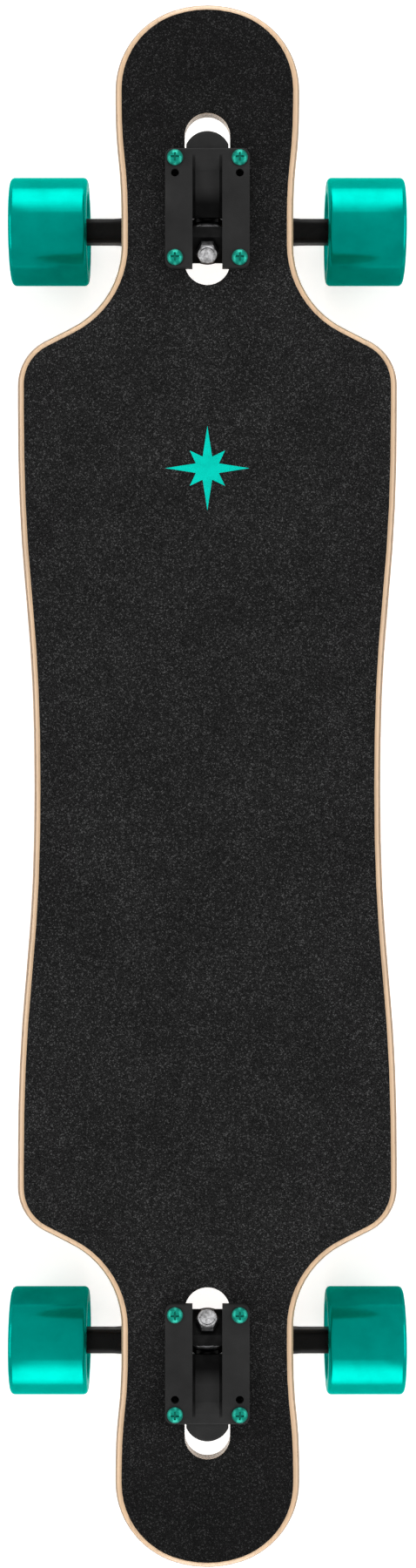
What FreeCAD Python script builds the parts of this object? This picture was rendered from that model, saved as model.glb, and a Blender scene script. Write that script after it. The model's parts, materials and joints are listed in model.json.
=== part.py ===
import FreeCAD, Part

import math
import os

from FreeCAD import Placement, Rotation, Vector

# A drop-through longboard: a twin-tipped plywood deck with grip tape, two steering trucks that hang
# through slots in the deck, and four urethane wheels on ball bearings.
# Millimetres. +X is the right-hand side, +Y points to the nose and +Z up.
# The origin lies on the floor under the middle of the deck.

# Whole board
TRUCK_SPACING = 736.0  # from one bolt pattern's centre to the other
NOSE_OVERHANG = 132.0  # from a bolt pattern's centre to the end of the deck
TRUCK_HEIGHT = 60.0  # from the axle's centre up to the underside of the mounting flange
WHEEL_DIAMETER = 70.0
OVERRUN = 5.0  # how far a cutting shape runs past what it cuts
PRESS_GAP = 0.02  # left around pieces that are pressed or bonded together
RUNNING_GAP = 0.06  # left around pieces that turn in each other
BOLT_GAP = 0.2  # left around a bolt in its hole

# Deck
DECK_THICKNESS = 10.0
WAIST_WIDTH = 221.0
SHOULDER_WIDTH = 242.0
NECK_WIDTH = 110.0
NOSE_WIDTH = 118.0
NECK_BEHIND_TRUCK = 22.0  # where the neck begins, measured back from the bolt pattern's centre
NECK_AHEAD_OF_TRUCK = 6.0  # where the neck ends and the nose begins to flare, short of that centre
NOSE_STRAIGHT = 7.2  # straight edge between the flare and the round nose
NOSE_CROWN = 0.8  # how far the tip bulges past the nose's corners
NOSE_CORNER_SHARE = 0.9153  # radius of the nose's corners, of its half width
SHOULDER_STRAIGHT = 15.0  # straight edge at the widest place
SHOULDER_SLOPE = 62.0  # degrees that the edge turns between shoulder and neck
SHOULDER_RADIUS_SHARE = 0.4848  # of the step between shoulder and neck
NECK_RADIUS_SHARE = 0.909  # of the same step
BEND_SHARE = 0.5  # reach of a gentle bend's handles, as a share of its length
FLAT_WIDTH = 62.0  # flat middle of the deck, under the trucks
CONCAVE_RADIUS = 600.0  # of the upturned sides
DECK_EDGE_RADIUS = 4.0
DECK_EDGE_LIMIT_SHARE = 0.45  # of the deck's thickness that its edge's radius may reach
SLOT_SIDE_GAP = 1.05  # between the slot and the casting that hangs through it
SLOT_END_GAP = 12.5  # of the slot past the pivot housing
SLOT_MOUTH_GAP = 16.86  # of the slot past the kingpin's seat

# Grip tape and its inlaid star
GRIP_THICKNESS = 1.0
GRIP_INSET = 4.2  # bare wood left along the deck's edge
STAR_PLACE = 203.0  # from the middle of the deck towards the nose
STAR_LONG_RADIUS = 27.0
STAR_SHORT_RADIUS = 16.0
STAR_WAIST_RADIUS = 8.0
STAR_POINTS = 8
STAR_GAP = 0.1

# Baseplate
FLANGE_END_MARGIN = 6.25  # from the outermost holes' centres to the flange's ends
FLANGE_SIDE_MARGIN = 6.36  # and to its sides
FLANGE_THICKNESS = 6.0
FLANGE_CORNER_RADIUS = 5.0
FLANGE_EDGE_RADIUS = 1.2
HOLE_SPACING_ACROSS = 41.28
HOLE_SPACING_LONG = 63.5
HOLE_SPACING_SHORT = 53.98  # the second pattern, which shares the inboard holes
CHEEK_THICKNESS = 3.95
HEAD_SIDE_GAP = 2.17  # between the kingpin's head and the cheeks
CHANNEL_MARGIN = 7.0  # of the flange past the channel's closed end
PAD_SLOPE = 6.5  # run of the slope from that end down to the channel's floor
PAD_LENGTH = 11.5  # flat floor over the pivot housing
PAD_DEPTH = 3.5
RAMP_WALL = 2.5  # at the lower edge of the ramp that leads down from the floor
RAMP_CROWN = 1.2  # how far the ramp bulges
GROOVE_WIDTH = 1.8  # on either side of floor and ramp
GROOVE_DEPTH = 1.5
NECK_ROOM = 1.5  # between the casting and the hanger's pivot
HOUSING_REACH = 49.5  # from the bolt pattern's centre to the housing's round end
HOUSING_DROP = 1.5  # from the flange's top down to the housing's
HOUSING_DEPTH = 15.0  # of the housing's round end
HOUSING_WALL = 3.0  # around the pivot cup
HOUSING_END_RISE = 8.5  # of that end, from its corners to its tip
HOUSING_EDGE_RADIUS = 2.0
SEAT_THICKNESS = 7.0  # of the web that the kingpin passes through
SEAT_MARGIN = 1.0  # of the web beyond the bushing
SEAT_BEVEL = 4.0  # by which the web narrows to its top at either end

# Steering
STEER_ANGLE = 40.0  # of the steering axis above the horizontal
AXLE_BEHIND_KINGPIN = 15.7  # from the kingpin's axis square across to the axle
RING_BELOW_FLANGE = 25.78  # from the flange's underside down to the middle of the hanger's ring
PIVOT_REACH = 27.5  # from the kingpin's axis to the centre of the pivot's round tip

# Kingpin, nut, washers and bushings
KINGPIN_DIAMETER = 9.52
KINGPIN_HEX = 14.29  # across the nut's flats
KINGPIN_HEAD_HEX = 12.7  # across the head's flats
KINGPIN_HEAD_HEIGHT = 6.0
KINGPIN_HEAD_BOSS_RADIUS = 4.6
KINGPIN_HEAD_BOSS_HEIGHT = 0.6
KINGPIN_TIP = 2.5  # thread left past the nut
KINGPIN_NUT_HEIGHT = 7.5
WASHER_THICKNESS = 1.5
WASHER_LIP = 0.8
BUSHING_RADIUS = 12.0
BUSHING_GAP = 0.2  # around the kingpin
BOARDSIDE_BUSHING_HEIGHT = 12.0
ROADSIDE_BUSHING_HEIGHT = 10.0
ROADSIDE_BUSHING_END_RADIUS = 9.5
BUSHING_EDGE_RADIUS = 1.0

# Pivot cup
PIVOT_CUP_RADIUS = 6.5
PIVOT_CUP_FLOOR = 1.8
PIVOT_CUP_MOUTH = 4.5  # from the tip's centre back to the cup's mouth

# Hanger
HANGER_LENGTH = 183.0
RING_WALL = 2.6  # around the bushings' seats
RING_THICKNESS = 9.0
RING_BORE_RADIUS = 6.8
RING_LIP = 1.8  # rim around each bushing
RING_LIP_GAP = 0.4
PIVOT_TIP_RADIUS = 3.8
PIVOT_NECK_RADIUS = 6.0
PIVOT_ROOT_RADIUS = 9.5
PIVOT_NECK_GAP = 1.0  # between the neck's shoulder and the housing
ARM_HEIGHT = 16.0
ARM_DEPTH = 16.0
ARM_CORNER_RADIUS = 4.5
YOKE_WIDTH = 34.0  # of the hanger's middle
YOKE_HEIGHT = 26.0
YOKE_DEPTH = 20.0
ARM_TAPER_END = 62.0  # where the yoke's taper reaches the arm's own size
ARM_BOSS_LENGTH = 8.0  # round end that goes into the wheel
ARM_BOSS_RADIUS = 8.0
YOKE_WALL = 7.0  # between the ring and the axle beam
STACK_GAP = 0.5  # between that wall and the bushings
NUT_GAP = 1.4  # between the axle beam and the kingpin nut
NUT_SWING_ROOM = 9.0  # room on either side of the nut for the hanger to lean

# Axle, nuts and rings
AXLE_DIAMETER = 8.0
AXLE_TIP = 4.0  # bare end left past the nut
AXLE_TIP_CHAMFER = 0.8
AXLE_THREAD_DEPTH = 0.4  # by which the bare end is slimmer than the thread
AXLE_NUT_HEX = 13.0
AXLE_NUT_HEIGHT = 6.5
SPEED_RING_THICKNESS = 1.0
SPEED_RING_RADIUS = 5.9
SPACER_LENGTH = 10.0
SPACER_RADIUS = 5.0

# Ball bearings
BEARING_OUTER_DIAMETER = 22.0
BEARING_WIDTH = 7.0
BEARING_LAND_REACH = 1.45  # from the balls' circle to each ring's land
BALL_DIAMETER = 3.969
BALL_COUNT = 7
CAGE_WALL = 1.2
CAGE_GAP = 0.3  # between the cage and the shields
SHIELD_THICKNESS = 0.4
SHIELD_RECESS = 0.2
SHIELD_GAP = 0.25

# Wheels
WHEEL_WIDTH = 51.0
WHEEL_LIP_RADIUS = 3.0
WHEEL_RIM = 9.0  # from the tread in to the dished face
CORE_WALL = 6.0  # around the bearings
CORE_COVER = 2.0  # of the core past the bearings' faces
CORE_RIB_RADIUS = 8.0

# Mounting bolts and nuts
BOLT_DIAMETER = 4.8
BOLT_HEAD_DIAMETER = 10.2
BOLT_HEAD_HEIGHT = 3.0
BOLT_HEAD_RIM = 0.9
BOLT_CROSS_LENGTH = 5.4
BOLT_CROSS_WIDTH = 1.2
BOLT_CROSS_DEPTH = 1.6
BOLT_TIP = 2.5  # thread left past the nut
BOLT_NUT_HEX = 9.5
BOLT_NUT_HEIGHT = 6.0

# Hexagons
HEX_SIDES = 6
HEX_FACE_SHARE = 0.95  # of the flats' width that a chamfered face keeps
HEX_CHAMFER_ANGLE = 30.0

# Heights and places that follow from the sizes above
X_AXIS = Vector(1, 0, 0)
Y_AXIS = Vector(0, 1, 0)
Z_AXIS = Vector(0, 0, 1)
ORIGIN = Vector(0, 0, 0)
FULL_TURN = 360.0
HALF_TURN = 180.0
QUARTER_TURN = 90.0
AXLE_Z = WHEEL_DIAMETER / 2
FLANGE_BOTTOM = AXLE_Z + TRUCK_HEIGHT
FLANGE_TOP = FLANGE_BOTTOM + FLANGE_THICKNESS
DECK_TOP = FLANGE_BOTTOM - GRIP_THICKNESS
DECK_BOTTOM = DECK_TOP - DECK_THICKNESS
TRUCK_Y = TRUCK_SPACING / 2
DECK_END = TRUCK_Y + NOSE_OVERHANG
DECK_WIDTH = max(WAIST_WIDTH, SHOULDER_WIDTH, NOSE_WIDTH)
SHOULDER_STEP = (SHOULDER_WIDTH - NECK_WIDTH) / 2
NOSE_CORNER_RADIUS = NOSE_WIDTH / 2 * NOSE_CORNER_SHARE
NOSE_CORNER_X = NOSE_WIDTH / 2 - NOSE_CORNER_RADIUS
NOSE_DEPTH = NOSE_CORNER_RADIUS + NOSE_CROWN
NOSE_TIP_RADIUS = (NOSE_CORNER_X ** 2 + NOSE_DEPTH ** 2 - NOSE_CORNER_RADIUS ** 2) / (2 * NOSE_CROWN)
FLANGE_LENGTH = HOLE_SPACING_LONG + 2 * FLANGE_END_MARGIN
FLANGE_WIDTH = HOLE_SPACING_ACROSS + 2 * FLANGE_SIDE_MARGIN
KINGPIN_RADIUS = KINGPIN_DIAMETER / 2
KINGPIN_HEX_REACH = KINGPIN_HEX / 2 / math.cos(math.pi / HEX_SIDES)
KINGPIN_HEAD_REACH = KINGPIN_HEAD_HEX / 2 / math.cos(math.pi / HEX_SIDES)
CHANNEL_WIDTH = 2 * (KINGPIN_HEAD_REACH + HEAD_SIDE_GAP)
CASTING_WIDTH = CHANNEL_WIDTH + 2 * CHEEK_THICKNESS
SLOT_WIDTH = CASTING_WIDTH + 2 * SLOT_SIDE_GAP
RING_RADIUS = BUSHING_RADIUS + RING_LIP_GAP + RING_WALL
AXLE_RADIUS = AXLE_DIAMETER / 2
BALL_RADIUS = BALL_DIAMETER / 2
BEARING_OUTER_RADIUS = BEARING_OUTER_DIAMETER / 2
BALL_PITCH_RADIUS = (AXLE_RADIUS + BEARING_OUTER_RADIUS) / 2
BEARING_INNER_LAND_RADIUS = BALL_PITCH_RADIUS - BEARING_LAND_REACH
BEARING_OUTER_LAND_RADIUS = BALL_PITCH_RADIUS + BEARING_LAND_REACH
CAGE_WIDTH = BEARING_WIDTH - 2 * (SHIELD_RECESS + SHIELD_THICKNESS + CAGE_GAP)
WHEEL_RECESS_RADIUS = WHEEL_DIAMETER / 2 - WHEEL_RIM
CORE_RADIUS = BEARING_OUTER_RADIUS + CORE_WALL
CORE_WIDTH = SPACER_LENGTH + 2 * (BEARING_WIDTH + CORE_COVER)
INNER_BEARING_X = HANGER_LENGTH / 2 + SPEED_RING_THICKNESS
WHEEL_X = INNER_BEARING_X + BEARING_WIDTH + SPACER_LENGTH / 2
OUTER_RING_X = INNER_BEARING_X + 2 * BEARING_WIDTH + SPACER_LENGTH
AXLE_NUT_X = OUTER_RING_X + SPEED_RING_THICKNESS
AXLE_END_X = AXLE_NUT_X + AXLE_NUT_HEIGHT + AXLE_TIP

# The kingpin's own frame has its origin in the middle of the hanger's ring. Its y runs outboard along
# the steering axis and its z up along the kingpin.
STEER_COS = math.cos(math.radians(STEER_ANGLE))
STEER_SIN = math.sin(math.radians(STEER_ANGLE))
RING_Z = FLANGE_BOTTOM - RING_BELOW_FLANGE
AXLE_BELOW_RING = (RING_Z - AXLE_Z - AXLE_BEHIND_KINGPIN * STEER_SIN) / STEER_COS
RING_Y = AXLE_BEHIND_KINGPIN * STEER_COS - AXLE_BELOW_RING * STEER_SIN
STEER_FRAME = Placement(Vector(0, RING_Y, RING_Z), Rotation(X_AXIS, STEER_ANGLE))
RING_TOP = RING_THICKNESS / 2
BOARDSIDE_WASHER = RING_TOP + BOARDSIDE_BUSHING_HEIGHT
SEAT_BOTTOM = BOARDSIDE_WASHER + WASHER_THICKNESS
SEAT_TOP = SEAT_BOTTOM + SEAT_THICKNESS
SEAT_REACH = BUSHING_RADIUS + SEAT_MARGIN
SEAT_TOP_REACH = SEAT_REACH - SEAT_BEVEL
ROADSIDE_WASHER = -RING_TOP - ROADSIDE_BUSHING_HEIGHT
KINGPIN_NUT_TOP = ROADSIDE_WASHER - WASHER_THICKNESS
KINGPIN_NUT_BOTTOM = KINGPIN_NUT_TOP - KINGPIN_NUT_HEIGHT
KINGPIN_END = KINGPIN_NUT_BOTTOM - KINGPIN_TIP
PIVOT_FACE = PIVOT_REACH - PIVOT_CUP_MOUTH
PIVOT_CUP_END = PIVOT_REACH + PIVOT_TIP_RADIUS + RUNNING_GAP + PIVOT_CUP_FLOOR


def line(start, end):
    """A straight edge between two points."""
    return Part.LineSegment(start, end).toShape()


def arc(centre, radius, start_angle, end_angle):
    """An arc in the XY plane, from one angle to another in radians."""
    angles = (start_angle, (start_angle + end_angle) / 2, end_angle)
    points = [centre + Vector(math.cos(a), math.sin(a), 0) * radius for a in angles]
    return Part.Arc(*points).toShape()


def gentle_bend(start, end):
    """A curve along Y whose two ends both run parallel to Y."""
    reach = Vector(0, (end.y - start.y) * BEND_SHARE, 0)
    curve = Part.BezierCurve()
    curve.setPoles([start, start + reach, end - reach, end])
    return curve.toShape()


def prism(points, direction):
    """A straight-sided prism on a closed outline of points."""
    outline = Part.makePolygon(list(points) + [points[0]])
    return Part.Face(outline).extrude(direction)


def turned(profile, axis=Z_AXIS, base=ORIGIN):
    """A solid turned about an axis through base, from an outline of (radius, height) points."""
    points = [Vector(radius, 0, height) for radius, height in profile]
    outline = Part.makePolygon(points + [points[0]])
    solid = Part.Face(outline).revolve(ORIGIN, Z_AXIS, FULL_TURN)
    solid.Placement = Placement(base, Rotation(Z_AXIS, axis))
    return solid


def ring(outer_radius, inner_radius, bottom, top):
    """A plain ring about Z."""
    outer = Part.makeCylinder(outer_radius, top - bottom, Vector(0, 0, bottom))
    bore = Part.makeCylinder(inner_radius, top - bottom + 2 * OVERRUN, Vector(0, 0, bottom - OVERRUN))
    return outer.cut(bore)


def along_x(shape, x, z=AXLE_Z):
    """Lays a shape built about Z along X on the axle's line, with its zero height at x."""
    laid = shape.copy()
    laid.Placement = Placement(Vector(x, 0, z), Rotation(Z_AXIS, X_AXIS)).multiply(shape.Placement)
    return laid


def steered(shape):
    """Moves a shape from the kingpin's frame to the truck's."""
    moved = shape.copy()
    moved.Placement = STEER_FRAME.multiply(shape.Placement)
    return moved


def steered_point(along, up):
    """A point of the kingpin's frame, given in the truck's."""
    return STEER_FRAME.multVec(Vector(0, along, up))


def hexagon(across_flats, height, bottom=0):
    """A six-sided prism about Z with its upper corners chamfered."""
    reach = across_flats / 2 / math.cos(math.pi / HEX_SIDES)
    corners = []
    for side in range(HEX_SIDES):
        angle = 2 * math.pi * side / HEX_SIDES
        corners.append(Vector(reach * math.cos(angle), reach * math.sin(angle), bottom))
    face_radius = across_flats / 2 * HEX_FACE_SHARE
    slope = math.tan(math.radians(HEX_CHAMFER_ANGLE))
    shoulder = bottom + height - (reach - face_radius) * slope
    top = bottom + height
    chamfer = turned([(0, bottom), (reach, bottom), (reach, shoulder), (face_radius, top), (0, top)])
    return prism(corners, Vector(0, 0, height)).common(chamfer)


def nut_bore(thread_radius, height):
    """The hole through a nut that stands on the XY plane."""
    return Part.makeCylinder(thread_radius + PRESS_GAP, height + 2 * OVERRUN, Vector(0, 0, -OVERRUN))


def rounded_rectangle(width, depth, radius, centre):
    """A face in the XY plane with four round corners."""
    half_x = width / 2 - radius
    half_y = depth / 2 - radius
    edges = []
    for quarter, (sx, sy) in enumerate(((1, 1), (-1, 1), (-1, -1), (1, -1))):
        start = math.radians(QUARTER_TURN * quarter)
        corner = centre + Vector(sx * half_x, sy * half_y, 0)
        edges.append(arc(corner, radius, start, start + math.pi / 2))
    joined = []
    for index, edge in enumerate(edges):
        following = edges[(index + 1) % len(edges)]
        joined.append(edge)
        joined.append(line(edge.lastVertex().Point, following.firstVertex().Point))
    return Part.Face(Part.Wire(joined))


def bowed_face(width, length, rise, tip):
    """A face in the XY plane, long in Y, whose end bows out to its tip."""
    half = X_AXIS * (width / 2)
    corner = tip - Y_AXIS * rise
    back = tip - Y_AXIS * length
    points = [corner + half, back + half, back - half, corner - half]
    edges = [line(start, end) for start, end in zip(points, points[1:])]
    edges.append(Part.Arc(corner - half, tip, corner + half).toShape())
    return Part.Face(Part.Wire(edges))


def slot_face(length, width, centre):
    """A face in the XY plane, long in Y, with half-round ends."""
    radius = width / 2
    reach = Vector(0, length / 2 - radius, 0)
    ahead = arc(centre + reach, radius, 0, math.pi)
    behind = arc(centre - reach, radius, math.pi, 2 * math.pi)
    left = line(ahead.lastVertex().Point, behind.firstVertex().Point)
    right = line(behind.lastVertex().Point, ahead.firstVertex().Point)
    return Part.Face(Part.Wire([ahead, left, behind, right]))


def quarter_outline(inset):
    """Edges of the deck's outline from the waist to the tip, on the right and ahead, drawn in by inset."""
    slope = math.radians(SHOULDER_SLOPE)
    shoulder_radius = SHOULDER_STEP * SHOULDER_RADIUS_SHARE - inset
    neck_radius = SHOULDER_STEP * NECK_RADIUS_SHARE + inset
    waist_x = WAIST_WIDTH / 2 - inset
    shoulder_x = SHOULDER_WIDTH / 2 - inset
    neck_x = NECK_WIDTH / 2 - inset
    nose_x = NOSE_WIDTH / 2 - inset
    radii = shoulder_radius + neck_radius
    run = (shoulder_x - neck_x - radii * (1 - math.cos(slope))) / math.sin(slope)
    neck_y = TRUCK_Y - NECK_BEHIND_TRUCK
    shoulder_y = neck_y - radii * math.sin(slope) - run * math.cos(slope)
    widest_y = shoulder_y - SHOULDER_STRAIGHT
    flare_y = TRUCK_Y - NECK_AHEAD_OF_TRUCK
    corner_y = DECK_END - NOSE_DEPTH
    nose_y = corner_y - NOSE_STRAIGHT
    shoulder = arc(Vector(shoulder_x - shoulder_radius, shoulder_y, 0), shoulder_radius, 0, slope)
    neck = arc(Vector(neck_x + neck_radius, neck_y, 0), neck_radius, math.pi + slope, math.pi)
    tip_y = DECK_END - NOSE_TIP_RADIUS
    meeting = math.atan2(corner_y - tip_y, NOSE_CORNER_X)
    corner = arc(Vector(NOSE_CORNER_X, corner_y, 0), NOSE_CORNER_RADIUS - inset, 0, meeting)
    tip = arc(Vector(0, tip_y, 0), NOSE_TIP_RADIUS - inset, meeting, math.pi / 2)
    return [
        gentle_bend(Vector(waist_x, 0, 0), Vector(shoulder_x, widest_y, 0)),
        line(Vector(shoulder_x, widest_y, 0), shoulder.firstVertex().Point),
        shoulder,
        line(shoulder.lastVertex().Point, neck.firstVertex().Point),
        neck,
        line(neck.lastVertex().Point, Vector(neck_x, flare_y, 0)),
        gentle_bend(Vector(neck_x, flare_y, 0), Vector(nose_x, nose_y, 0)),
        line(Vector(nose_x, nose_y, 0), corner.firstVertex().Point),
        corner,
        tip,
    ]


def outline_prism(inset):
    """An upright prism on the deck's whole outline, drawn in by inset."""
    quarter = quarter_outline(inset)
    half = quarter + [edge.mirror(ORIGIN, X_AXIS) for edge in quarter]
    whole = half + [edge.mirror(ORIGIN, Y_AXIS) for edge in half]
    face = Part.Face(Part.Wire(Part.sortEdges(whole)[0]))
    face.translate(Vector(0, 0, DECK_BOTTOM - OVERRUN))
    return face.extrude(Vector(0, 0, DECK_WIDTH))


def layer(bottom, top):
    """The deck's concave cross-section between two heights over its top, run along the whole board."""
    flat = FLAT_WIDTH / 2
    sweep = math.asin((DECK_WIDTH / 2 + OVERRUN - flat) / (CONCAVE_RADIUS - GRIP_THICKNESS))
    centre_z = DECK_TOP + CONCAVE_RADIUS

    def side(height, hand):
        radius = CONCAVE_RADIUS - height
        points = []
        for angle in (0, sweep / 2, sweep):
            x = hand * (flat + radius * math.sin(angle))
            points.append(Vector(x, -DECK_END - OVERRUN, centre_z - radius * math.cos(angle)))
        return Part.Arc(*points).toShape()

    edges = []
    for height in (bottom, top):
        left = side(height, -1)
        right = side(height, 1)
        edges += [left, line(left.firstVertex().Point, right.firstVertex().Point), right]
    for low, high in ((edges[0], edges[3]), (edges[2], edges[5])):
        edges.append(line(low.lastVertex().Point, high.lastVertex().Point))
    face = Part.Face(Part.Wire(Part.sortEdges(edges)[0]))
    return face.extrude(Vector(0, 2 * (DECK_END + OVERRUN), 0))


def round_outer_edges(slab, radius):
    """Rounds every edge where an upright side of a slab meets its upper or lower skin."""
    upright = []
    skins = []
    for face in slab.Faces:
        u_low, u_high, v_low, v_high = face.ParameterRange
        normal = face.normalAt((u_low + u_high) / 2, (v_low + v_high) / 2)
        is_skin = abs(normal.z) > math.cos(math.pi / 4)
        (skins if is_skin else upright).append(face)
    skin_edges = [edge for face in skins for edge in face.Edges]
    rim = []
    for face in upright:
        for edge in face.Edges:
            if any(edge.isSame(other) for other in skin_edges):
                rim.append(edge)
    return slab.makeFillet(radius, rim)


def at_both_ends(shape):
    """A truck's shape at the nose and its twin, turned half round, at the tail."""
    return [at_end(shape, end) for end in (1, -1)]


def at_end(shape, end):
    """Places a shape from the truck's frame at the nose (1) or at the tail (-1)."""
    placed = shape.copy()
    placed.Placement = Placement(Vector(0, TRUCK_Y, 0), Rotation()).multiply(placed.Placement)
    if end < 0:
        placed.Placement = Placement(ORIGIN, Rotation(Z_AXIS, HALF_TURN)).multiply(placed.Placement)
    return placed


def bolt_places():
    """Centres of the four mounting bolts in the truck's frame."""
    across = HOLE_SPACING_ACROSS / 2
    along = HOLE_SPACING_LONG / 2
    return [(x, y) for x in (-across, across) for y in (-along, along)]


def deck_openings():
    """Slots and bolt holes that pass through the deck and its grip tape."""
    height = FLANGE_TOP - DECK_BOTTOM + 2 * OVERRUN
    floor = DECK_BOTTOM - OVERRUN
    slot_end = HOUSING_REACH + SLOT_END_GAP
    slot_start = steered_point(-SEAT_TOP_REACH, SEAT_TOP).y - SLOT_MOUTH_GAP
    centre = Vector(0, (slot_start + slot_end) / 2, floor)
    slot = slot_face(slot_end - slot_start, SLOT_WIDTH, centre)
    shapes = at_both_ends(slot.extrude(Vector(0, 0, height)))
    for x, y in bolt_places():
        hole = Part.makeCylinder(BOLT_DIAMETER / 2 + BOLT_GAP, height, Vector(x, y, floor))
        shapes += at_both_ends(hole)
    return shapes


def star_face(growth):
    """A star with long and short points by turns, grown outwards by growth."""
    points = []
    for step in range(2 * STAR_POINTS):
        tip_radius = STAR_SHORT_RADIUS if step % 4 else STAR_LONG_RADIUS
        radius = STAR_WAIST_RADIUS if step % 2 else tip_radius
        angle = math.pi * step / STAR_POINTS
        reach = radius + growth
        points.append(Vector(reach * math.cos(angle), STAR_PLACE + reach * math.sin(angle), DECK_TOP))
    return Part.Face(Part.makePolygon(points + [points[0]]))


def make_deck():
    """The plywood deck with its rounded edge, slots and bolt holes."""
    slab = layer(-DECK_THICKNESS, 0).common(outline_prism(0)).removeSplitter()
    radius = min(DECK_EDGE_RADIUS, DECK_THICKNESS * DECK_EDGE_LIMIT_SHARE)
    return round_outer_edges(slab, radius).cut(deck_openings())


def make_grip_tape():
    """The grip tape on the deck's top, open at the slots, the bolts and the star."""
    sheet = layer(0, GRIP_THICKNESS).common(outline_prism(GRIP_INSET))
    star = star_face(STAR_GAP).extrude(Vector(0, 0, 2 * GRIP_THICKNESS))
    return sheet.cut(deck_openings() + [star])


def make_grip_star():
    """The star let into the grip tape."""
    return star_face(0).extrude(Vector(0, 0, GRIP_THICKNESS))


def ramp_foot():
    """The underside of the ramp's lower edge, just clear of the pivot's root."""
    return steered_point(RING_RADIUS, PIVOT_ROOT_RADIUS + NECK_ROOM)


def channel_cut(width, lift):
    """A cutter for the channel between the cheeks, of one width, with its floor lifted."""
    foot = ramp_foot() + Z_AXIS * RAMP_WALL
    closed_y = FLANGE_LENGTH / 2 - CHANNEL_MARGIN
    floor_z = FLANGE_TOP - PAD_DEPTH
    floor_end = Vector(0, closed_y - PAD_SLOPE, floor_z)
    floor_start = floor_end - Y_AXIS * PAD_LENGTH
    middle = (foot + floor_start) / 2 + Z_AXIS * RAMP_CROWN
    brim = floor_end + Vector(0, PAD_SLOPE, PAD_DEPTH) * 2
    mouth_y = -FLANGE_LENGTH / 2 - OVERRUN
    around = [Vector(0, mouth_y, brim.z), Vector(0, mouth_y, 0), Vector(0, foot.y, 0)]
    corners = [floor_start, floor_end, brim] + around + [foot]
    edges = [Part.Arc(foot, middle, floor_start).toShape()]
    edges += [line(start, end) for start, end in zip(corners, corners[1:])]
    face = Part.Face(Part.Wire(edges))
    face.translate(Vector(-width / 2, 0, lift))
    return face.extrude(X_AXIS * width)


def casting_profile():
    """Side outline of the casting that hangs through the slot, in the truck's frame."""
    under_housing = -PIVOT_CUP_RADIUS - HOUSING_WALL
    housing_top = FLANGE_TOP - HOUSING_DROP
    seat_corner = steered_point(-SEAT_REACH, SEAT_BOTTOM)
    web_corner = steered_point(-SEAT_TOP_REACH, SEAT_TOP)
    return [
        Vector(0, web_corner.y, FLANGE_BOTTOM),
        web_corner,
        seat_corner,
        steered_point(SEAT_REACH, SEAT_BOTTOM),
        ramp_foot(),
        steered_point(PIVOT_FACE, PIVOT_NECK_RADIUS + NECK_ROOM),
        steered_point(PIVOT_FACE, under_housing),
        Vector(0, HOUSING_REACH, housing_top - HOUSING_DEPTH),
        Vector(0, HOUSING_REACH, housing_top),
        Vector(0, web_corner.y, housing_top),
    ]


def make_baseplate():
    """The cast baseplate: a flange on the deck, two cheeks, the kingpin's seat and the pivot housing."""
    half = CASTING_WIDTH / 2
    across = X_AXIS * CASTING_WIDTH
    plan = bowed_face(CASTING_WIDTH, 2 * FLANGE_LENGTH, HOUSING_END_RISE, Y_AXIS * HOUSING_REACH)
    plan = plan.extrude(Vector(0, 0, FLANGE_TOP))
    body = prism([point - X_AXIS * half for point in casting_profile()], across).common(plan)
    tip = HOUSING_REACH - HOUSING_EDGE_RADIUS
    brow = FLANGE_TOP - HOUSING_DROP - HOUSING_EDGE_RADIUS
    rim = [edge for edge in body.Edges if edge.BoundBox.YMax > tip and edge.BoundBox.ZMin > brow]
    body = body.makeFillet(HOUSING_EDGE_RADIUS, rim)
    underside = Vector(0, 0, FLANGE_BOTTOM)
    flange = rounded_rectangle(FLANGE_WIDTH, FLANGE_LENGTH, FLANGE_CORNER_RADIUS, underside)
    flange = flange.extrude(Vector(0, 0, FLANGE_THICKNESS))
    upper = [edge for edge in flange.Edges if edge.BoundBox.ZMin > FLANGE_TOP - FLANGE_EDGE_RADIUS]
    body = body.fuse(flange.makeFillet(FLANGE_EDGE_RADIUS, upper))
    groove = channel_cut(GROOVE_WIDTH, -GROOVE_DEPTH)
    groove_x = (CHANNEL_WIDTH - GROOVE_WIDTH) / 2
    grooves = [groove.translated(X_AXIS * x) for x in (-groove_x, groove_x)]
    web_corners = [
        Vector(-half, -SEAT_REACH, SEAT_BOTTOM),
        Vector(-half, SEAT_REACH, SEAT_BOTTOM),
        Vector(-half, SEAT_TOP_REACH, SEAT_TOP),
        Vector(-half, -SEAT_TOP_REACH, SEAT_TOP),
    ]
    web = prism(web_corners, across)
    body = body.cut([channel_cut(CHANNEL_WIDTH, 0)] + grooves).fuse(steered(web).common(plan))
    height = SEAT_THICKNESS + 2 * OVERRUN
    bore = Part.makeCylinder(KINGPIN_RADIUS + BOLT_GAP, height, Vector(0, 0, SEAT_BOTTOM - OVERRUN))
    cup_length = PIVOT_CUP_END - PIVOT_FACE + OVERRUN
    cup_start = Vector(0, PIVOT_FACE - OVERRUN, 0)
    cup_hole = Part.makeCylinder(PIVOT_CUP_RADIUS + PRESS_GAP, cup_length, cup_start, Y_AXIS)
    cuts = [steered(bore), steered(cup_hole)]
    spare_y = HOLE_SPACING_SHORT - HOLE_SPACING_LONG / 2
    spare_places = [(x, spare_y) for x in (-HOLE_SPACING_ACROSS / 2, HOLE_SPACING_ACROSS / 2)]
    for x, y in bolt_places() + spare_places:
        hole_height = FLANGE_THICKNESS + 2 * OVERRUN
        place = Vector(x, y, FLANGE_BOTTOM - OVERRUN)
        cuts.append(Part.makeCylinder(BOLT_DIAMETER / 2 + BOLT_GAP, hole_height, place))
    return body.cut(cuts).removeSplitter()


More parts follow.
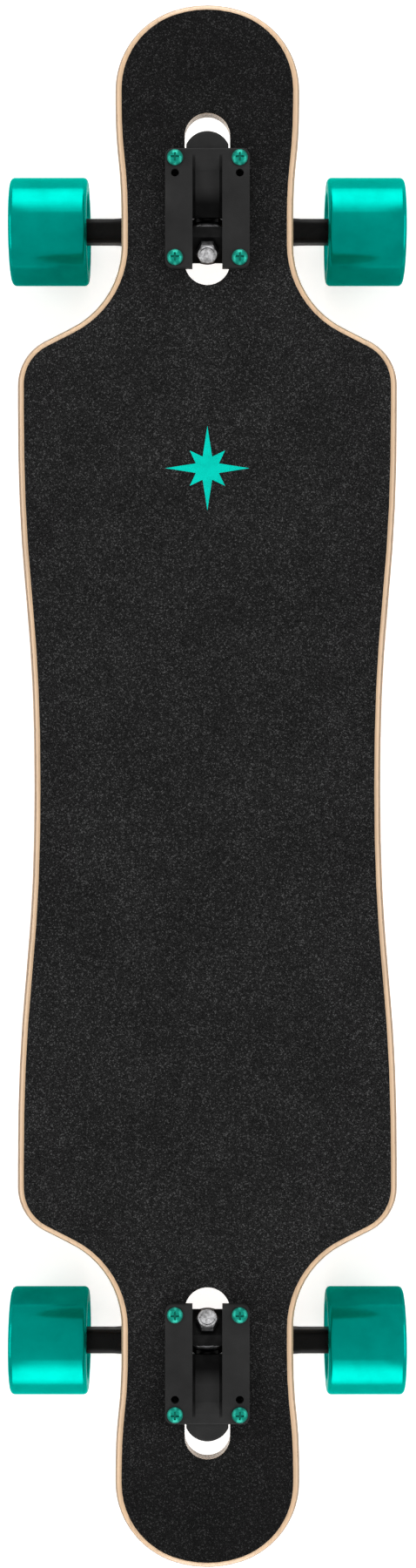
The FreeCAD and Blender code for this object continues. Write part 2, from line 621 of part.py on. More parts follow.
def make_pivot_cup():
    """The plastic cup that the hanger's pivot turns in."""
    body = Part.makeCylinder(PIVOT_CUP_RADIUS, PIVOT_CUP_END - PIVOT_FACE, Vector(0, PIVOT_FACE, 0), Y_AXIS)
    radius = PIVOT_TIP_RADIUS + RUNNING_GAP
    bore = Part.makeCylinder(radius, PIVOT_CUP_MOUTH + OVERRUN, Vector(0, PIVOT_FACE - OVERRUN, 0), Y_AXIS)
    end = Part.makeSphere(radius, Vector(0, PIVOT_REACH, 0))
    return steered(body.cut([bore, end]))


def make_kingpin():
    """The kingpin bolt, with its hexagonal head up in the baseplate's channel."""
    shank = Part.makeCylinder(KINGPIN_RADIUS, SEAT_TOP - KINGPIN_END, Vector(0, 0, KINGPIN_END))
    head = hexagon(KINGPIN_HEAD_HEX, KINGPIN_HEAD_HEIGHT, SEAT_TOP)
    boss_bottom = Vector(0, 0, SEAT_TOP + KINGPIN_HEAD_HEIGHT)
    boss = Part.makeCylinder(KINGPIN_HEAD_BOSS_RADIUS, KINGPIN_HEAD_BOSS_HEIGHT, boss_bottom)
    return steered(shank.fuse([head, boss]).removeSplitter())


def make_kingpin_nut():
    """The lock nut on the kingpin's lower end."""
    nut = hexagon(KINGPIN_HEX, KINGPIN_NUT_HEIGHT)
    nut = nut.cut(nut_bore(KINGPIN_RADIUS, KINGPIN_NUT_HEIGHT))
    nut.rotate(ORIGIN, X_AXIS, HALF_TURN)
    nut.translate(Vector(0, 0, KINGPIN_NUT_TOP))
    return steered(nut)


def cupped_washer(radius, bottom, lip_side):
    """A washer whose rim is turned up around the bushing, above it (1) or below (-1)."""
    inner = radius + RING_LIP_GAP
    outer = inner + WASHER_THICKNESS
    top = bottom + WASHER_THICKNESS
    lip_bottom = top if lip_side > 0 else bottom - WASHER_LIP
    disc = ring(outer, KINGPIN_RADIUS + BUSHING_GAP, bottom, top)
    return disc.fuse(ring(outer, inner, lip_bottom, lip_bottom + WASHER_LIP)).removeSplitter()


def make_bushing_washers():
    """The two cupped washers, above the boardside bushing and below the roadside one."""
    upper = cupped_washer(BUSHING_RADIUS, BOARDSIDE_WASHER, -1)
    lower = cupped_washer(ROADSIDE_BUSHING_END_RADIUS, KINGPIN_NUT_TOP, 1)
    return [steered(upper), steered(lower)]


def bushing(bottom_radius, top_radius, bottom, top):
    """A urethane bushing with softened rims around the kingpin."""
    inner = KINGPIN_RADIUS + BUSHING_GAP
    edge = BUSHING_EDGE_RADIUS
    profile = [
        (inner, bottom),
        (bottom_radius - edge, bottom),
        (bottom_radius, bottom + edge),
        (top_radius, top - edge),
        (top_radius - edge, top),
        (inner, top),
    ]
    return steered(turned(profile))


def make_boardside_bushing():
    """The barrel bushing between the baseplate and the hanger's ring."""
    return bushing(BUSHING_RADIUS, BUSHING_RADIUS, RING_TOP, BOARDSIDE_WASHER)


def make_roadside_bushing():
    """The cone bushing between the hanger's ring and the kingpin nut."""
    return bushing(ROADSIDE_BUSHING_END_RADIUS, BUSHING_RADIUS, ROADSIDE_WASHER, -RING_TOP)


def make_hanger_ring():
    """The ring around the kingpin and the round pivot that runs out from it, in the kingpin's frame."""
    height = RING_TOP + RING_LIP
    body = Part.makeCylinder(RING_RADIUS, 2 * height, Vector(0, 0, -height))
    shoulder = PIVOT_FACE - PIVOT_NECK_GAP
    root = RING_RADIUS - RING_LIP
    neck = Part.makeCone(PIVOT_ROOT_RADIUS, PIVOT_NECK_RADIUS, shoulder - root, Vector(0, root, 0), Y_AXIS)
    stem = Part.makeCylinder(PIVOT_TIP_RADIUS, PIVOT_REACH - root, Vector(0, root, 0), Y_AXIS)
    tip = Part.makeSphere(PIVOT_TIP_RADIUS, Vector(0, PIVOT_REACH, 0))
    inner = Part.makeCylinder(PIVOT_ROOT_RADIUS, root, ORIGIN, Y_AXIS)
    return body.fuse([inner, neck, stem, tip])


def make_hanger_arm():
    """One tapering arm of the axle beam with its round end, on the right-hand side."""
    wires = []
    for x, depth, height in ((0, YOKE_DEPTH, YOKE_HEIGHT), (YOKE_WIDTH / 2, YOKE_DEPTH, YOKE_HEIGHT),
                             (ARM_TAPER_END, ARM_DEPTH, ARM_HEIGHT),
                             (HANGER_LENGTH / 2 - ARM_BOSS_LENGTH, ARM_DEPTH, ARM_HEIGHT)):
        face = rounded_rectangle(height, depth, ARM_CORNER_RADIUS, ORIGIN)
        wires.append(along_x(face, x).OuterWire)
    arm = Part.makeLoft(wires, True, True)
    boss_start = Vector(HANGER_LENGTH / 2 - ARM_BOSS_LENGTH, 0, AXLE_Z)
    boss = Part.makeCylinder(ARM_BOSS_RADIUS, ARM_BOSS_LENGTH, boss_start, X_AXIS)
    return arm.fuse(boss)


def make_hanger():
    """The cast hanger: ring, pivot, a wall down to the axle beam, and the beam's two arms."""
    arm = make_hanger_arm()
    beam = arm.fuse(arm.mirror(ORIGIN, X_AXIS))
    wall_near = -BUSHING_RADIUS - STACK_GAP
    wall_corner = Vector(-YOKE_WIDTH / 2, wall_near - YOKE_WALL, -AXLE_BELOW_RING)
    wall = Part.makeBox(YOKE_WIDTH, YOKE_WALL, AXLE_BELOW_RING + RING_TOP, wall_corner)
    bridge_corner = Vector(-RING_RADIUS, wall_near - YOKE_WALL / 2, -RING_TOP)
    bridge = Part.makeBox(2 * RING_RADIUS, -bridge_corner.y, RING_THICKNESS, bridge_corner)
    body = beam.fuse([steered(make_hanger_ring()), steered(wall), steered(bridge)])
    depth = RING_LIP + OVERRUN
    seat_radius = BUSHING_RADIUS + RING_LIP_GAP
    upper_seat = Part.makeCylinder(seat_radius, depth, Vector(0, 0, RING_TOP))
    stack = Part.makeCylinder(seat_radius, -RING_TOP - ROADSIDE_WASHER, Vector(0, 0, ROADSIDE_WASHER))
    nut_half = KINGPIN_HEX_REACH + NUT_SWING_ROOM
    nut_corner = Vector(-nut_half, -KINGPIN_HEX / 2 - NUT_GAP, KINGPIN_END - NUT_GAP)
    nut_room = Part.makeBox(2 * nut_half, AXLE_BELOW_RING, ROADSIDE_WASHER - nut_corner.z, nut_corner)
    bore = Part.makeCylinder(RING_BORE_RADIUS, RING_RADIUS + RING_THICKNESS, Vector(0, 0, -RING_THICKNESS))
    washer_radius = ROADSIDE_BUSHING_END_RADIUS + RING_LIP_GAP + WASHER_THICKNESS + STACK_GAP
    washer_bottom = Vector(0, 0, KINGPIN_NUT_TOP - WASHER_LIP)
    washer_room = Part.makeCylinder(washer_radius, 2 * WASHER_THICKNESS, washer_bottom)
    cuts = [steered(shape) for shape in (upper_seat, stack, nut_room, bore, washer_room)]
    start = Vector(-HANGER_LENGTH / 2 - OVERRUN, 0, AXLE_Z)
    cuts.append(Part.makeCylinder(AXLE_RADIUS + PRESS_GAP, HANGER_LENGTH + 2 * OVERRUN, start, X_AXIS))
    return body.cut(cuts).removeSplitter()


def make_axle():
    """The steel axle, threaded past each wheel."""
    thread_radius = AXLE_RADIUS - AXLE_THREAD_DEPTH
    thread_start = AXLE_END_X - AXLE_TIP
    half = [
        (AXLE_RADIUS, thread_start),
        (thread_radius, thread_start),
        (thread_radius, AXLE_END_X - AXLE_TIP_CHAMFER),
        (thread_radius - AXLE_TIP_CHAMFER, AXLE_END_X),
        (0, AXLE_END_X),
    ]
    mirrored = [(radius, -x) for radius, x in reversed(half)]
    return along_x(turned(mirrored + half), 0)


def both_sides(shape):
    """A shape on the right-hand side of the axle and its mirror image on the left."""
    return [shape, shape.mirror(ORIGIN, X_AXIS)]


def make_axle_nuts():
    """The lock nut at each end of the axle."""
    nut = hexagon(AXLE_NUT_HEX, AXLE_NUT_HEIGHT)
    nut = nut.cut(nut_bore(AXLE_RADIUS, AXLE_NUT_HEIGHT))
    return both_sides(along_x(nut, AXLE_NUT_X))


def make_speed_rings():
    """The thin rings on either side of each wheel's bearings."""
    washer = ring(SPEED_RING_RADIUS, AXLE_RADIUS + PRESS_GAP, 0, SPEED_RING_THICKNESS)
    rings = []
    for x in (HANGER_LENGTH / 2, OUTER_RING_X):
        rings += both_sides(along_x(washer, x))
    return rings


def make_bearing_spacers():
    """The sleeve between the two bearings of each wheel."""
    sleeve = ring(SPACER_RADIUS, AXLE_RADIUS + PRESS_GAP, -SPACER_LENGTH / 2, SPACER_LENGTH / 2)
    return both_sides(along_x(sleeve, WHEEL_X))


def bearing_places():
    """Distances of one wheel's two bearing centres from the wheel's middle."""
    reach = (SPACER_LENGTH + BEARING_WIDTH) / 2
    return (-reach, reach)


def raceway():
    """The ring-shaped room that the balls run in."""
    return Part.makeTorus(BALL_PITCH_RADIUS, BALL_RADIUS + RUNNING_GAP)


def make_bearing_inner_rings():
    """The inner ring of every bearing, held on the axle."""
    half = BEARING_WIDTH / 2
    inner = ring(BEARING_INNER_LAND_RADIUS, AXLE_RADIUS + PRESS_GAP, -half, half).cut(raceway())
    rings = []
    for place in bearing_places():
        rings += both_sides(along_x(inner, WHEEL_X + place))
    return rings


def make_wheel_tyre():
    """The urethane wheel with rounded lips and a dished face on either side."""
    half = WHEEL_WIDTH / 2
    radius = WHEEL_DIAMETER / 2
    core_half = CORE_WIDTH / 2
    bore = CORE_RADIUS + PRESS_GAP
    profile = [
        (bore, -core_half),
        (WHEEL_RECESS_RADIUS, -half),
        (radius, -half),
        (radius, half),
        (WHEEL_RECESS_RADIUS, half),
        (bore, core_half),
    ]
    solid = turned(profile)
    rims = [edge for edge in solid.Edges if edge.Length > math.pi * (radius + WHEEL_RECESS_RADIUS)]
    lips = [edge for edge in rims if abs(edge.CenterOfMass.z) > core_half]
    return solid.makeFillet(WHEEL_LIP_RADIUS, lips)


def make_wheel_core():
    """The hard core that carries the bearings inside the wheel."""
    half = CORE_WIDTH / 2
    pocket = BEARING_OUTER_RADIUS + PRESS_GAP
    seat = SPACER_LENGTH / 2
    body = ring(CORE_RADIUS, CORE_RIB_RADIUS, -half, half)
    depth = half - seat + OVERRUN
    outer_pocket = Part.makeCylinder(pocket, depth, Vector(0, 0, seat))
    inner_pocket = Part.makeCylinder(pocket, depth, Vector(0, 0, -seat - depth))
    return body.cut([outer_pocket, inner_pocket])


def make_bearing_outer_rings():
    """The outer rings of one wheel's two bearings."""
    half = BEARING_WIDTH / 2
    outer = ring(BEARING_OUTER_RADIUS, BEARING_OUTER_LAND_RADIUS, -half, half).cut(raceway())
    return [outer.translated(Vector(0, 0, place)) for place in bearing_places()]


def make_bearing_shields():
    """The two thin shields of each bearing."""
    inner = BEARING_INNER_LAND_RADIUS + SHIELD_GAP
    outer = BEARING_OUTER_LAND_RADIUS - PRESS_GAP
    top = BEARING_WIDTH / 2 - SHIELD_RECESS
    near = ring(outer, inner, top - SHIELD_THICKNESS, top)
    far = ring(outer, inner, -top, SHIELD_THICKNESS - top)
    return [shield.translated(Vector(0, 0, place)) for place in bearing_places() for shield in (near, far)]


def ball_centres():
    """Centres of one bearing's balls about its middle."""
    angles = [2 * math.pi * ball / BALL_COUNT for ball in range(BALL_COUNT)]
    return [Vector(math.cos(angle), math.sin(angle), 0) * BALL_PITCH_RADIUS for angle in angles]


def make_bearing_balls():
    """The balls of one wheel's two bearings."""
    lifts = [Vector(0, 0, place) for place in bearing_places()]
    return [Part.makeSphere(BALL_RADIUS, centre + lift) for lift in lifts for centre in ball_centres()]


def make_bearing_cages():
    """The cages that keep one wheel's balls apart."""
    half = CAGE_WIDTH / 2
    body = ring(BALL_PITCH_RADIUS + CAGE_WALL / 2, BALL_PITCH_RADIUS - CAGE_WALL / 2, -half, half)
    body.rotate(ORIGIN, Z_AXIS, HALF_TURN / BALL_COUNT)
    radius = BALL_RADIUS + RUNNING_GAP
    pockets = [Part.makeCylinder(radius, BEARING_OUTER_RADIUS, ORIGIN, centre) for centre in ball_centres()]
    body = body.cut(pockets)
    return [body.translated(Vector(0, 0, place)) for place in bearing_places()]


def make_mounting_bolts():
    """The four cross-headed bolts of one truck."""
    end = DECK_BOTTOM - BOLT_NUT_HEIGHT - BOLT_TIP
    shank = Part.makeCylinder(BOLT_DIAMETER / 2, FLANGE_TOP - end, Vector(0, 0, end))
    head_radius = BOLT_HEAD_DIAMETER / 2
    crown = BOLT_HEAD_HEIGHT - BOLT_HEAD_RIM
    dome_radius = (head_radius ** 2 + crown ** 2) / (2 * crown)
    dome = Part.makeSphere(dome_radius, Vector(0, 0, FLANGE_TOP + BOLT_HEAD_HEIGHT - dome_radius))
    head = Part.makeCylinder(head_radius, BOLT_HEAD_HEIGHT, Vector(0, 0, FLANGE_TOP)).common(dome)
    floor = FLANGE_TOP + BOLT_HEAD_HEIGHT - BOLT_CROSS_DEPTH
    length = BOLT_CROSS_LENGTH
    width = BOLT_CROSS_WIDTH
    depth = BOLT_CROSS_DEPTH + OVERRUN
    lengthwise = Part.makeBox(width, length, depth, Vector(-width / 2, -length / 2, floor))
    crosswise = Part.makeBox(length, width, depth, Vector(-length / 2, -width / 2, floor))
    bolt = shank.fuse(head).cut([lengthwise, crosswise]).removeSplitter()
    return [bolt.translated(Vector(x, y, 0)) for x, y in bolt_places()]


def make_mounting_nuts():
    """The four lock nuts under the deck."""
    nut = hexagon(BOLT_NUT_HEX, BOLT_NUT_HEIGHT)
    nut = nut.cut(nut_bore(BOLT_DIAMETER / 2, BOLT_NUT_HEIGHT))
    nut.rotate(ORIGIN, X_AXIS, HALF_TURN)
    return [nut.translated(Vector(x, y, DECK_BOTTOM)) for x, y in bolt_places()]


def truck_nodes():
    """Every piece of one truck, in its own frame, by name."""
    return {
        "baseplate": make_baseplate(),
        "pivot_cup": make_pivot_cup(),
        "kingpin": make_kingpin(),
        "kingpin_nut": make_kingpin_nut(),
        "bushing_washers": make_bushing_washers(),
        "boardside_bushing": make_boardside_bushing(),
        "roadside_bushing": make_roadside_bushing(),
        "hanger": make_hanger(),
        "axle": make_axle(),
        "axle_nuts": make_axle_nuts(),
        "speed_rings": make_speed_rings(),
        "bearing_spacers": make_bearing_spacers(),
        "bearing_inner_rings": make_bearing_inner_rings(),
        "mounting_bolts": make_mounting_bolts(),
        "mounting_nuts": make_mounting_nuts(),
    }


def wheel_nodes():
    """Every piece that turns with one wheel or inside it, about Z, by name."""
    return {
        "wheel_tyre": make_wheel_tyre(),
        "wheel_core": make_wheel_core(),
        "bearing_outer_rings": make_bearing_outer_rings(),
        "bearing_shields": make_bearing_shields(),
        "bearing_balls": make_bearing_balls(),
        "bearing_cages": make_bearing_cages(),
    }


def as_list(shapes):
    """One shape or a list of shapes, as a list."""
    return shapes if isinstance(shapes, list) else [shapes]


def all_nodes():
    """Every node of the board at its place, by name."""
    nodes = {"deck": make_deck(), "grip_tape": make_grip_tape(), "grip_star": make_grip_star()}
    truck = truck_nodes()
    wheel = wheel_nodes()
    for end_name, end in (("front", 1), ("rear", -1)):
        for name, shapes in truck.items():
            nodes[f"{end_name}_{name}"] = [at_end(shape, end) for shape in as_list(shapes)]
        for side_name, side in (("left", -1), ("right", 1)):
            x = side * end * WHEEL_X
            for name, shapes in wheel.items():
                placed = [at_end(along_x(shape, x), end) for shape in as_list(shapes)]
                nodes[f"{end_name}_{side_name}_{name}"] = placed
    return nodes


def main():
    """Writes one STEP file per node."""
    os.makedirs("parts", exist_ok=True)
    for name, shapes in all_nodes().items():
        pieces = as_list(shapes)
        shape = pieces[0] if len(pieces) == 1 else Part.makeCompound(pieces)
        solids = len(shape.Solids)
        print(f"{name}: {solids} solid(s), {shape.Volume:.1f} mm3, valid {shape.isValid()}")
        shape.exportStep(os.path.join("parts", f"{name}.step"))


if __name__ == "__main__":
    main()
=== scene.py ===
"""Looks of a drop-through longboard: its finishes, small turned pieces, studio and camera.

Metres throughout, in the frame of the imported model: +X right, +Y to the nose, +Z up.
"""
import json
import logging
import math
from dataclasses import dataclass
from enum import Enum
from functools import cache
from typing import Sequence, Union

import bmesh
import bpy
from mathutils import Matrix, Vector

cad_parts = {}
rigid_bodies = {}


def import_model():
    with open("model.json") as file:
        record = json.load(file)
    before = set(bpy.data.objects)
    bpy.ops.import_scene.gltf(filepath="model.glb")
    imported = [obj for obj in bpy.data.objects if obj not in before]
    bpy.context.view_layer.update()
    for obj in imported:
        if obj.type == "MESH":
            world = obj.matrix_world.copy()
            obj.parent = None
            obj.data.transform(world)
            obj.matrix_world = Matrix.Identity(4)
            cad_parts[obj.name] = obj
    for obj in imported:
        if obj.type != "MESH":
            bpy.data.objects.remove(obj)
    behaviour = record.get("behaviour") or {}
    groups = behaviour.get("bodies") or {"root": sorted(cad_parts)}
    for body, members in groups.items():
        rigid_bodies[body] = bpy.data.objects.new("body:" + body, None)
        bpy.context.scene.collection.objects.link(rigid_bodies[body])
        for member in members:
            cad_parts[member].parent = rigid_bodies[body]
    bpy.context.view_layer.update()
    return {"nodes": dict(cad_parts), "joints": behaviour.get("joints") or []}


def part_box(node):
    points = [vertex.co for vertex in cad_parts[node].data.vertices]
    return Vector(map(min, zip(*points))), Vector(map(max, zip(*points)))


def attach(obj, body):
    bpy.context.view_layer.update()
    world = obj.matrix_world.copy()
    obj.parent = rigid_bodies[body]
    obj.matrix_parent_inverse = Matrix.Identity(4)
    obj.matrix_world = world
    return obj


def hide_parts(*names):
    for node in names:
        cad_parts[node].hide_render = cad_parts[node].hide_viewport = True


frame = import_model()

LOG = logging.getLogger("longboard")

Triple = tuple[float, float, float]
Colour = Triple
Socket = bpy.types.NodeSocket
Fed = Union[float, Triple, Socket]
Stops = Sequence[tuple[float, Colour]]
Outline = list[tuple[float, float]]

FULL_TURN = 2 * math.pi
RIGHTWARD = Vector((1, 0, 0))
LEVEL_MATCH = 1e-4  # how closely two heights agree, as a share
EASED_ANGLE = 1.0  # radians: edges that turn by more are rounded
CREASE_ANGLE = 40.0  # degrees: edges that turn by more are shaded sharp
MERGE_DISTANCE = 1e-7
ROUND_PROFILE = 0.5
SAME_MATERIAL = -1
NOISE_SPREAD = (0.3, 0.7)  # where most values of a noise lie
SHADE_STOPS = (0.25, 0.5, 0.8)


class End(Enum):
    """The two ends of the board, by the way that they point along Y."""

    FRONT = 1
    REAR = -1

    @property
    def label(self) -> str:
        """The end's name in node and piece names."""
        return self.name.lower()


class Side(Enum):
    """The two sides of the board, by the way that they point along X."""

    LEFT = -1
    RIGHT = 1

    @property
    def label(self) -> str:
        """The side's name in node and piece names."""
        return self.name.lower()


class Ray(Enum):
    """The kinds of ray that show the surroundings, by the Light Path node's outputs."""

    CAMERA = "Is Camera Ray"
    GLOSSY = "Is Glossy Ray"
    TRANSMISSION = "Is Transmission Ray"


def grey(value: float) -> Colour:
    """A neutral colour of one value."""
    return (value, value, value)


def scaled(colour: Colour, factor: float) -> Colour:
    """A colour made lighter or darker by a factor."""
    return tuple(channel * factor for channel in colour)


def tinted(colour: Colour, tint: Colour) -> Colour:
    """A colour seen through another."""
    return tuple(channel * share for channel, share in zip(colour, tint))


def shades(colour: Colour, dark: float, light: float, places: Triple = SHADE_STOPS) -> Stops:
    """Three stops, from a darker to a lighter shade of a colour.

    Args:
        colour: The middle shade.
        dark: The factor of the darker one.
        light: The factor of the lighter one.
        places: Where the three lie.

    Returns:
        The stops.
    """
    return tuple(zip(places, (scaled(colour, dark), colour, scaled(colour, light))))


class Graph:
    """The shader nodes of one material, laid out by short calls."""

    MIX_FACTOR, MIX_FIRST, MIX_SECOND, MIX_RESULT = 0, 6, 7, 2

    def __init__(self, name: str) -> None:
        """Starts a material with a bare shader.

        Args:
            name: The material's name.
        """
        self.material = bpy.data.materials.new(name)
        self.material.use_nodes = True
        self.tree = self.material.node_tree
        self.tree.nodes.clear()
        self.shader = self.tree.nodes.new("ShaderNodeBsdfPrincipled")
        self.output = self.tree.nodes.new("ShaderNodeOutputMaterial")
        self.tree.links.new(self.shader.outputs["BSDF"], self.output.inputs["Surface"])

    def feed(self, socket: Socket, value: Fed) -> None:
        """Links a socket to another, or sets its own value.

        Args:
            socket: The input to fill.
            value: A socket to link, a number or a colour.
        """
        if isinstance(value, bpy.types.NodeSocket):
            self.tree.links.new(value, socket)
        elif isinstance(value, tuple) and len(socket.default_value) > len(value):
            socket.default_value = (*value, 1.0)
        else:
            socket.default_value = value

    def node(self, kind: str, inputs: dict[str | int, Fed], **settings: object) -> bpy.types.Node:
        """Adds a node.

        Args:
            kind: The node's type.
            inputs: Values or links for its inputs, by name or place.
            settings: Its own properties.

        Returns:
            The new node.
        """
        made = self.tree.nodes.new(kind)
        for key, value in settings.items():
            setattr(made, key, value)
        for key, value in inputs.items():
            self.feed(made.inputs[key], value)
        return made

    def surface(self, **values: Fed) -> None:
        """Fills the shader's inputs.

        Args:
            values: Values or links by input name, with underscores for spaces.
        """
        for key, value in values.items():
            self.feed(self.shader.inputs[key.replace("_", " ")], value)

    def place(self) -> Socket:
        """The point on the piece, in the piece's own frame."""
        return self.node("ShaderNodeTexCoord", {}).outputs["Object"]

    def stretched(self, place: Socket, scale: Triple) -> Socket:
        """A point with each of its axes scaled by itself."""
        return self.node("ShaderNodeMapping", {"Vector": place, "Scale": scale}).outputs["Vector"]

    def axes(self, place: Socket) -> tuple[Socket, Socket, Socket]:
        """The three coordinates of a point."""
        split = self.node("ShaderNodeSeparateXYZ", {"Vector": place})
        return split.outputs["X"], split.outputs["Y"], split.outputs["Z"]

    def math(self, operation: str, first: Fed, second: Fed = 0.0) -> Socket:
        """A sum of one or two values.

        Args:
            operation: The sum's name.
            first: The first value.
            second: The second value, where the sum has one.

        Returns:
            The result.
        """
        return self.node("ShaderNodeMath", {0: first, 1: second}, operation=operation).outputs["Value"]

    def noise(self, place: Socket, scale: float, detail: float, rough: float) -> Socket:
        """A cloudy value around a half.

        Args:
            place: The point to read it at.
            scale: Clouds per metre.
            detail: How many finer layers it has.
            rough: How strong the finer layers are.

        Returns:
            The value.
        """
        inputs = {"Vector": place, "Scale": scale, "Detail": detail, "Roughness": rough}
        return self.node("ShaderNodeTexNoise", inputs).outputs[0]

    def grains(self, place: Socket, scale: float) -> tuple[Socket, Socket]:
        """A pattern of packed grains.

        Args:
            place: The point to read it at.
            scale: Grains per metre.

        Returns:
            The distance from the grain's middle, and the grain's own random value.
        """
        made = self.node("ShaderNodeTexVoronoi", {"Vector": place, "Scale": scale})
        own = self.node("ShaderNodeSeparateColor", {"Color": made.outputs["Color"]}).outputs["Red"]
        return made.outputs["Distance"], own

    def ramp(self, value: Socket, stops: Stops) -> Socket:
        """A colour picked along a row of stops.

        Args:
            value: Where along the row, from 0 to 1.
            stops: The place and colour of each stop.

        Returns:
            The colour.
        """
        made = self.node("ShaderNodeValToRGB", {"Fac": value})
        elements = made.color_ramp.elements
        while len(elements) < len(stops):
            elements.new(1.0)
        for element, (position, colour) in zip(elements, stops):
            element.position = position
            element.color = (*colour, 1.0)
        return made.outputs["Color"]

    def span(self, value: Socket, low: float, high: float, from_low: float = 0.0,
             from_high: float = 1.0) -> Socket:
        """A value carried from one range to another, and kept inside it.

        Args:
            value: The value.
            low: What the lowest becomes.
            high: What the highest becomes.
            from_low: The lowest value read.
            from_high: The highest value read.

        Returns:
            The new value.
        """
        inputs = {"Value": value, "From Min": from_low, "From Max": from_high, "To Min": low, "To Max": high}
        return self.node("ShaderNodeMapRange", inputs).outputs["Result"]

    def uneven(self, noise: Socket, middle: float, less: float, more: float) -> Socket:
        """A value that a noise makes smaller and larger.

        Args:
            noise: The noise.
            middle: The value without it.
            less: How much smaller it gets.
            more: How much larger it gets.

        Returns:
            The value.
        """
        return self.span(noise, middle - less, middle + more, *NOISE_SPREAD)

    def mix(self, share: Fed, first: Fed, second: Fed, blend: str = "MIX") -> Socket:
        """A blend of two colours.

        Args:
            share: How much of the second.
            first: The first colour.
            second: The second colour.
            blend: How they meet.

        Returns:
            The blended colour.
        """
        inputs = {self.MIX_FACTOR: share, self.MIX_FIRST: first, self.MIX_SECOND: second}
        made = self.node("ShaderNodeMix", inputs, data_type="RGBA", blend_type=blend)
        return made.outputs[self.MIX_RESULT]

    def relief(self, height: Socket, depth: float, strength: float) -> None:
        """Raises the surface by a height pattern, on top of any before it.

        Args:
            height: The pattern, from 0 to 1.
            depth: What a height of 1 measures, in metres.
            strength: How much of it shows.
        """
        inputs = {"Height": height, "Distance": depth, "Strength": strength}
        previous = self.shader.inputs["Normal"].links
        if previous:
            inputs["Normal"] = previous[0].from_socket
        self.feed(self.shader.inputs["Normal"], self.node("ShaderNodeBump", inputs).outputs["Normal"])


@dataclass(frozen=True)
class Finish:
    """A surface finish that becomes one material."""

    name: str
    colour: Colour

    @cache
    def material(self) -> bpy.types.Material:
        """The finish's material, made on first use."""
        graph = Graph(self.name)
        self.paint(graph)
        return graph.material

    def paint(self, graph: Graph) -> None:
        """Lays out the material's nodes.

        Args:
            graph: The material to fill.
        """
        raise NotImplementedError


@dataclass(frozen=True)
class GripFinish(Finish):
    """Abrasive grains set in resin, with a few that catch the light."""

    grain_scale: float = 1500.0
    grain_depth: float = 0.0003
    dust_scale: float = 3600.0
    dust_depth: float = 0.0001
    dust_share: float = 0.4
    dust_shade: float = 0.6
    dust_start: float = 0.8
    cloud_scale: float = 26.0
    cloud_range: tuple[float, float] = (0.78, 1.22)
    deep_shade: float = 0.05
    plain_start: float = 0.35
    bright_shade: float = 2.4
    glint: Colour = grey(0.10)
    glint_start: float = 0.82
    dull_roughness: float = 0.95
    glint_roughness: float = 0.5
    # painted shade: the grip darkens from the first reach along it to the second, down to a share of its
    # colour
    worn_half: float = 0.30
    clean_half: float = 0.45
    clean_share: float = 0.5

    def paint(self, graph: Graph) -> None:
        """Lays out the grains, darkened towards the nose and tail by painted shade."""
        place = graph.place()
        _, along, _ = graph.axes(place)
        reach = graph.math("ABSOLUTE", along)
        # painted shade darkening the grip towards the nose and tail
        painted_end_shade = graph.span(reach, 1.0, self.clean_share, self.worn_half, self.clean_half)
        grain_distance, grain = graph.grains(place, self.grain_scale)
        dust_distance, dust = graph.grains(place, self.dust_scale)
        cloud = graph.noise(place, self.cloud_scale, detail=4.0, rough=0.6)
        grit = graph.ramp(grain, (
            (0.0, scaled(self.colour, self.deep_shade)), (self.plain_start, self.colour),
            (self.glint_start, scaled(self.colour, self.bright_shade)), (1.0, self.glint)))
        powder = graph.ramp(dust, (
            (0.0, scaled(self.colour, self.dust_shade)), (self.dust_start, self.colour), (1.0, self.glint)))
        shade = graph.math("MULTIPLY", graph.span(cloud, *self.cloud_range, *NOISE_SPREAD), painted_end_shade)
        shading = graph.node("ShaderNodeCombineColor", {"Red": shade, "Green": shade, "Blue": shade})
        graph.surface(
            Base_Color=graph.mix(
                1.0, graph.mix(self.dust_share, grit, powder), shading.outputs["Color"], "MULTIPLY"),
            Roughness=graph.span(grain, self.dull_roughness, self.glint_roughness, self.glint_start, 1.0),
            Specular_IOR_Level=0.1,
        )
        graph.relief(graph.math("SUBTRACT", 1.0, grain_distance), self.grain_depth, strength=0.8)
        graph.relief(graph.math("SUBTRACT", 1.0, dust_distance), self.dust_depth, strength=0.6)


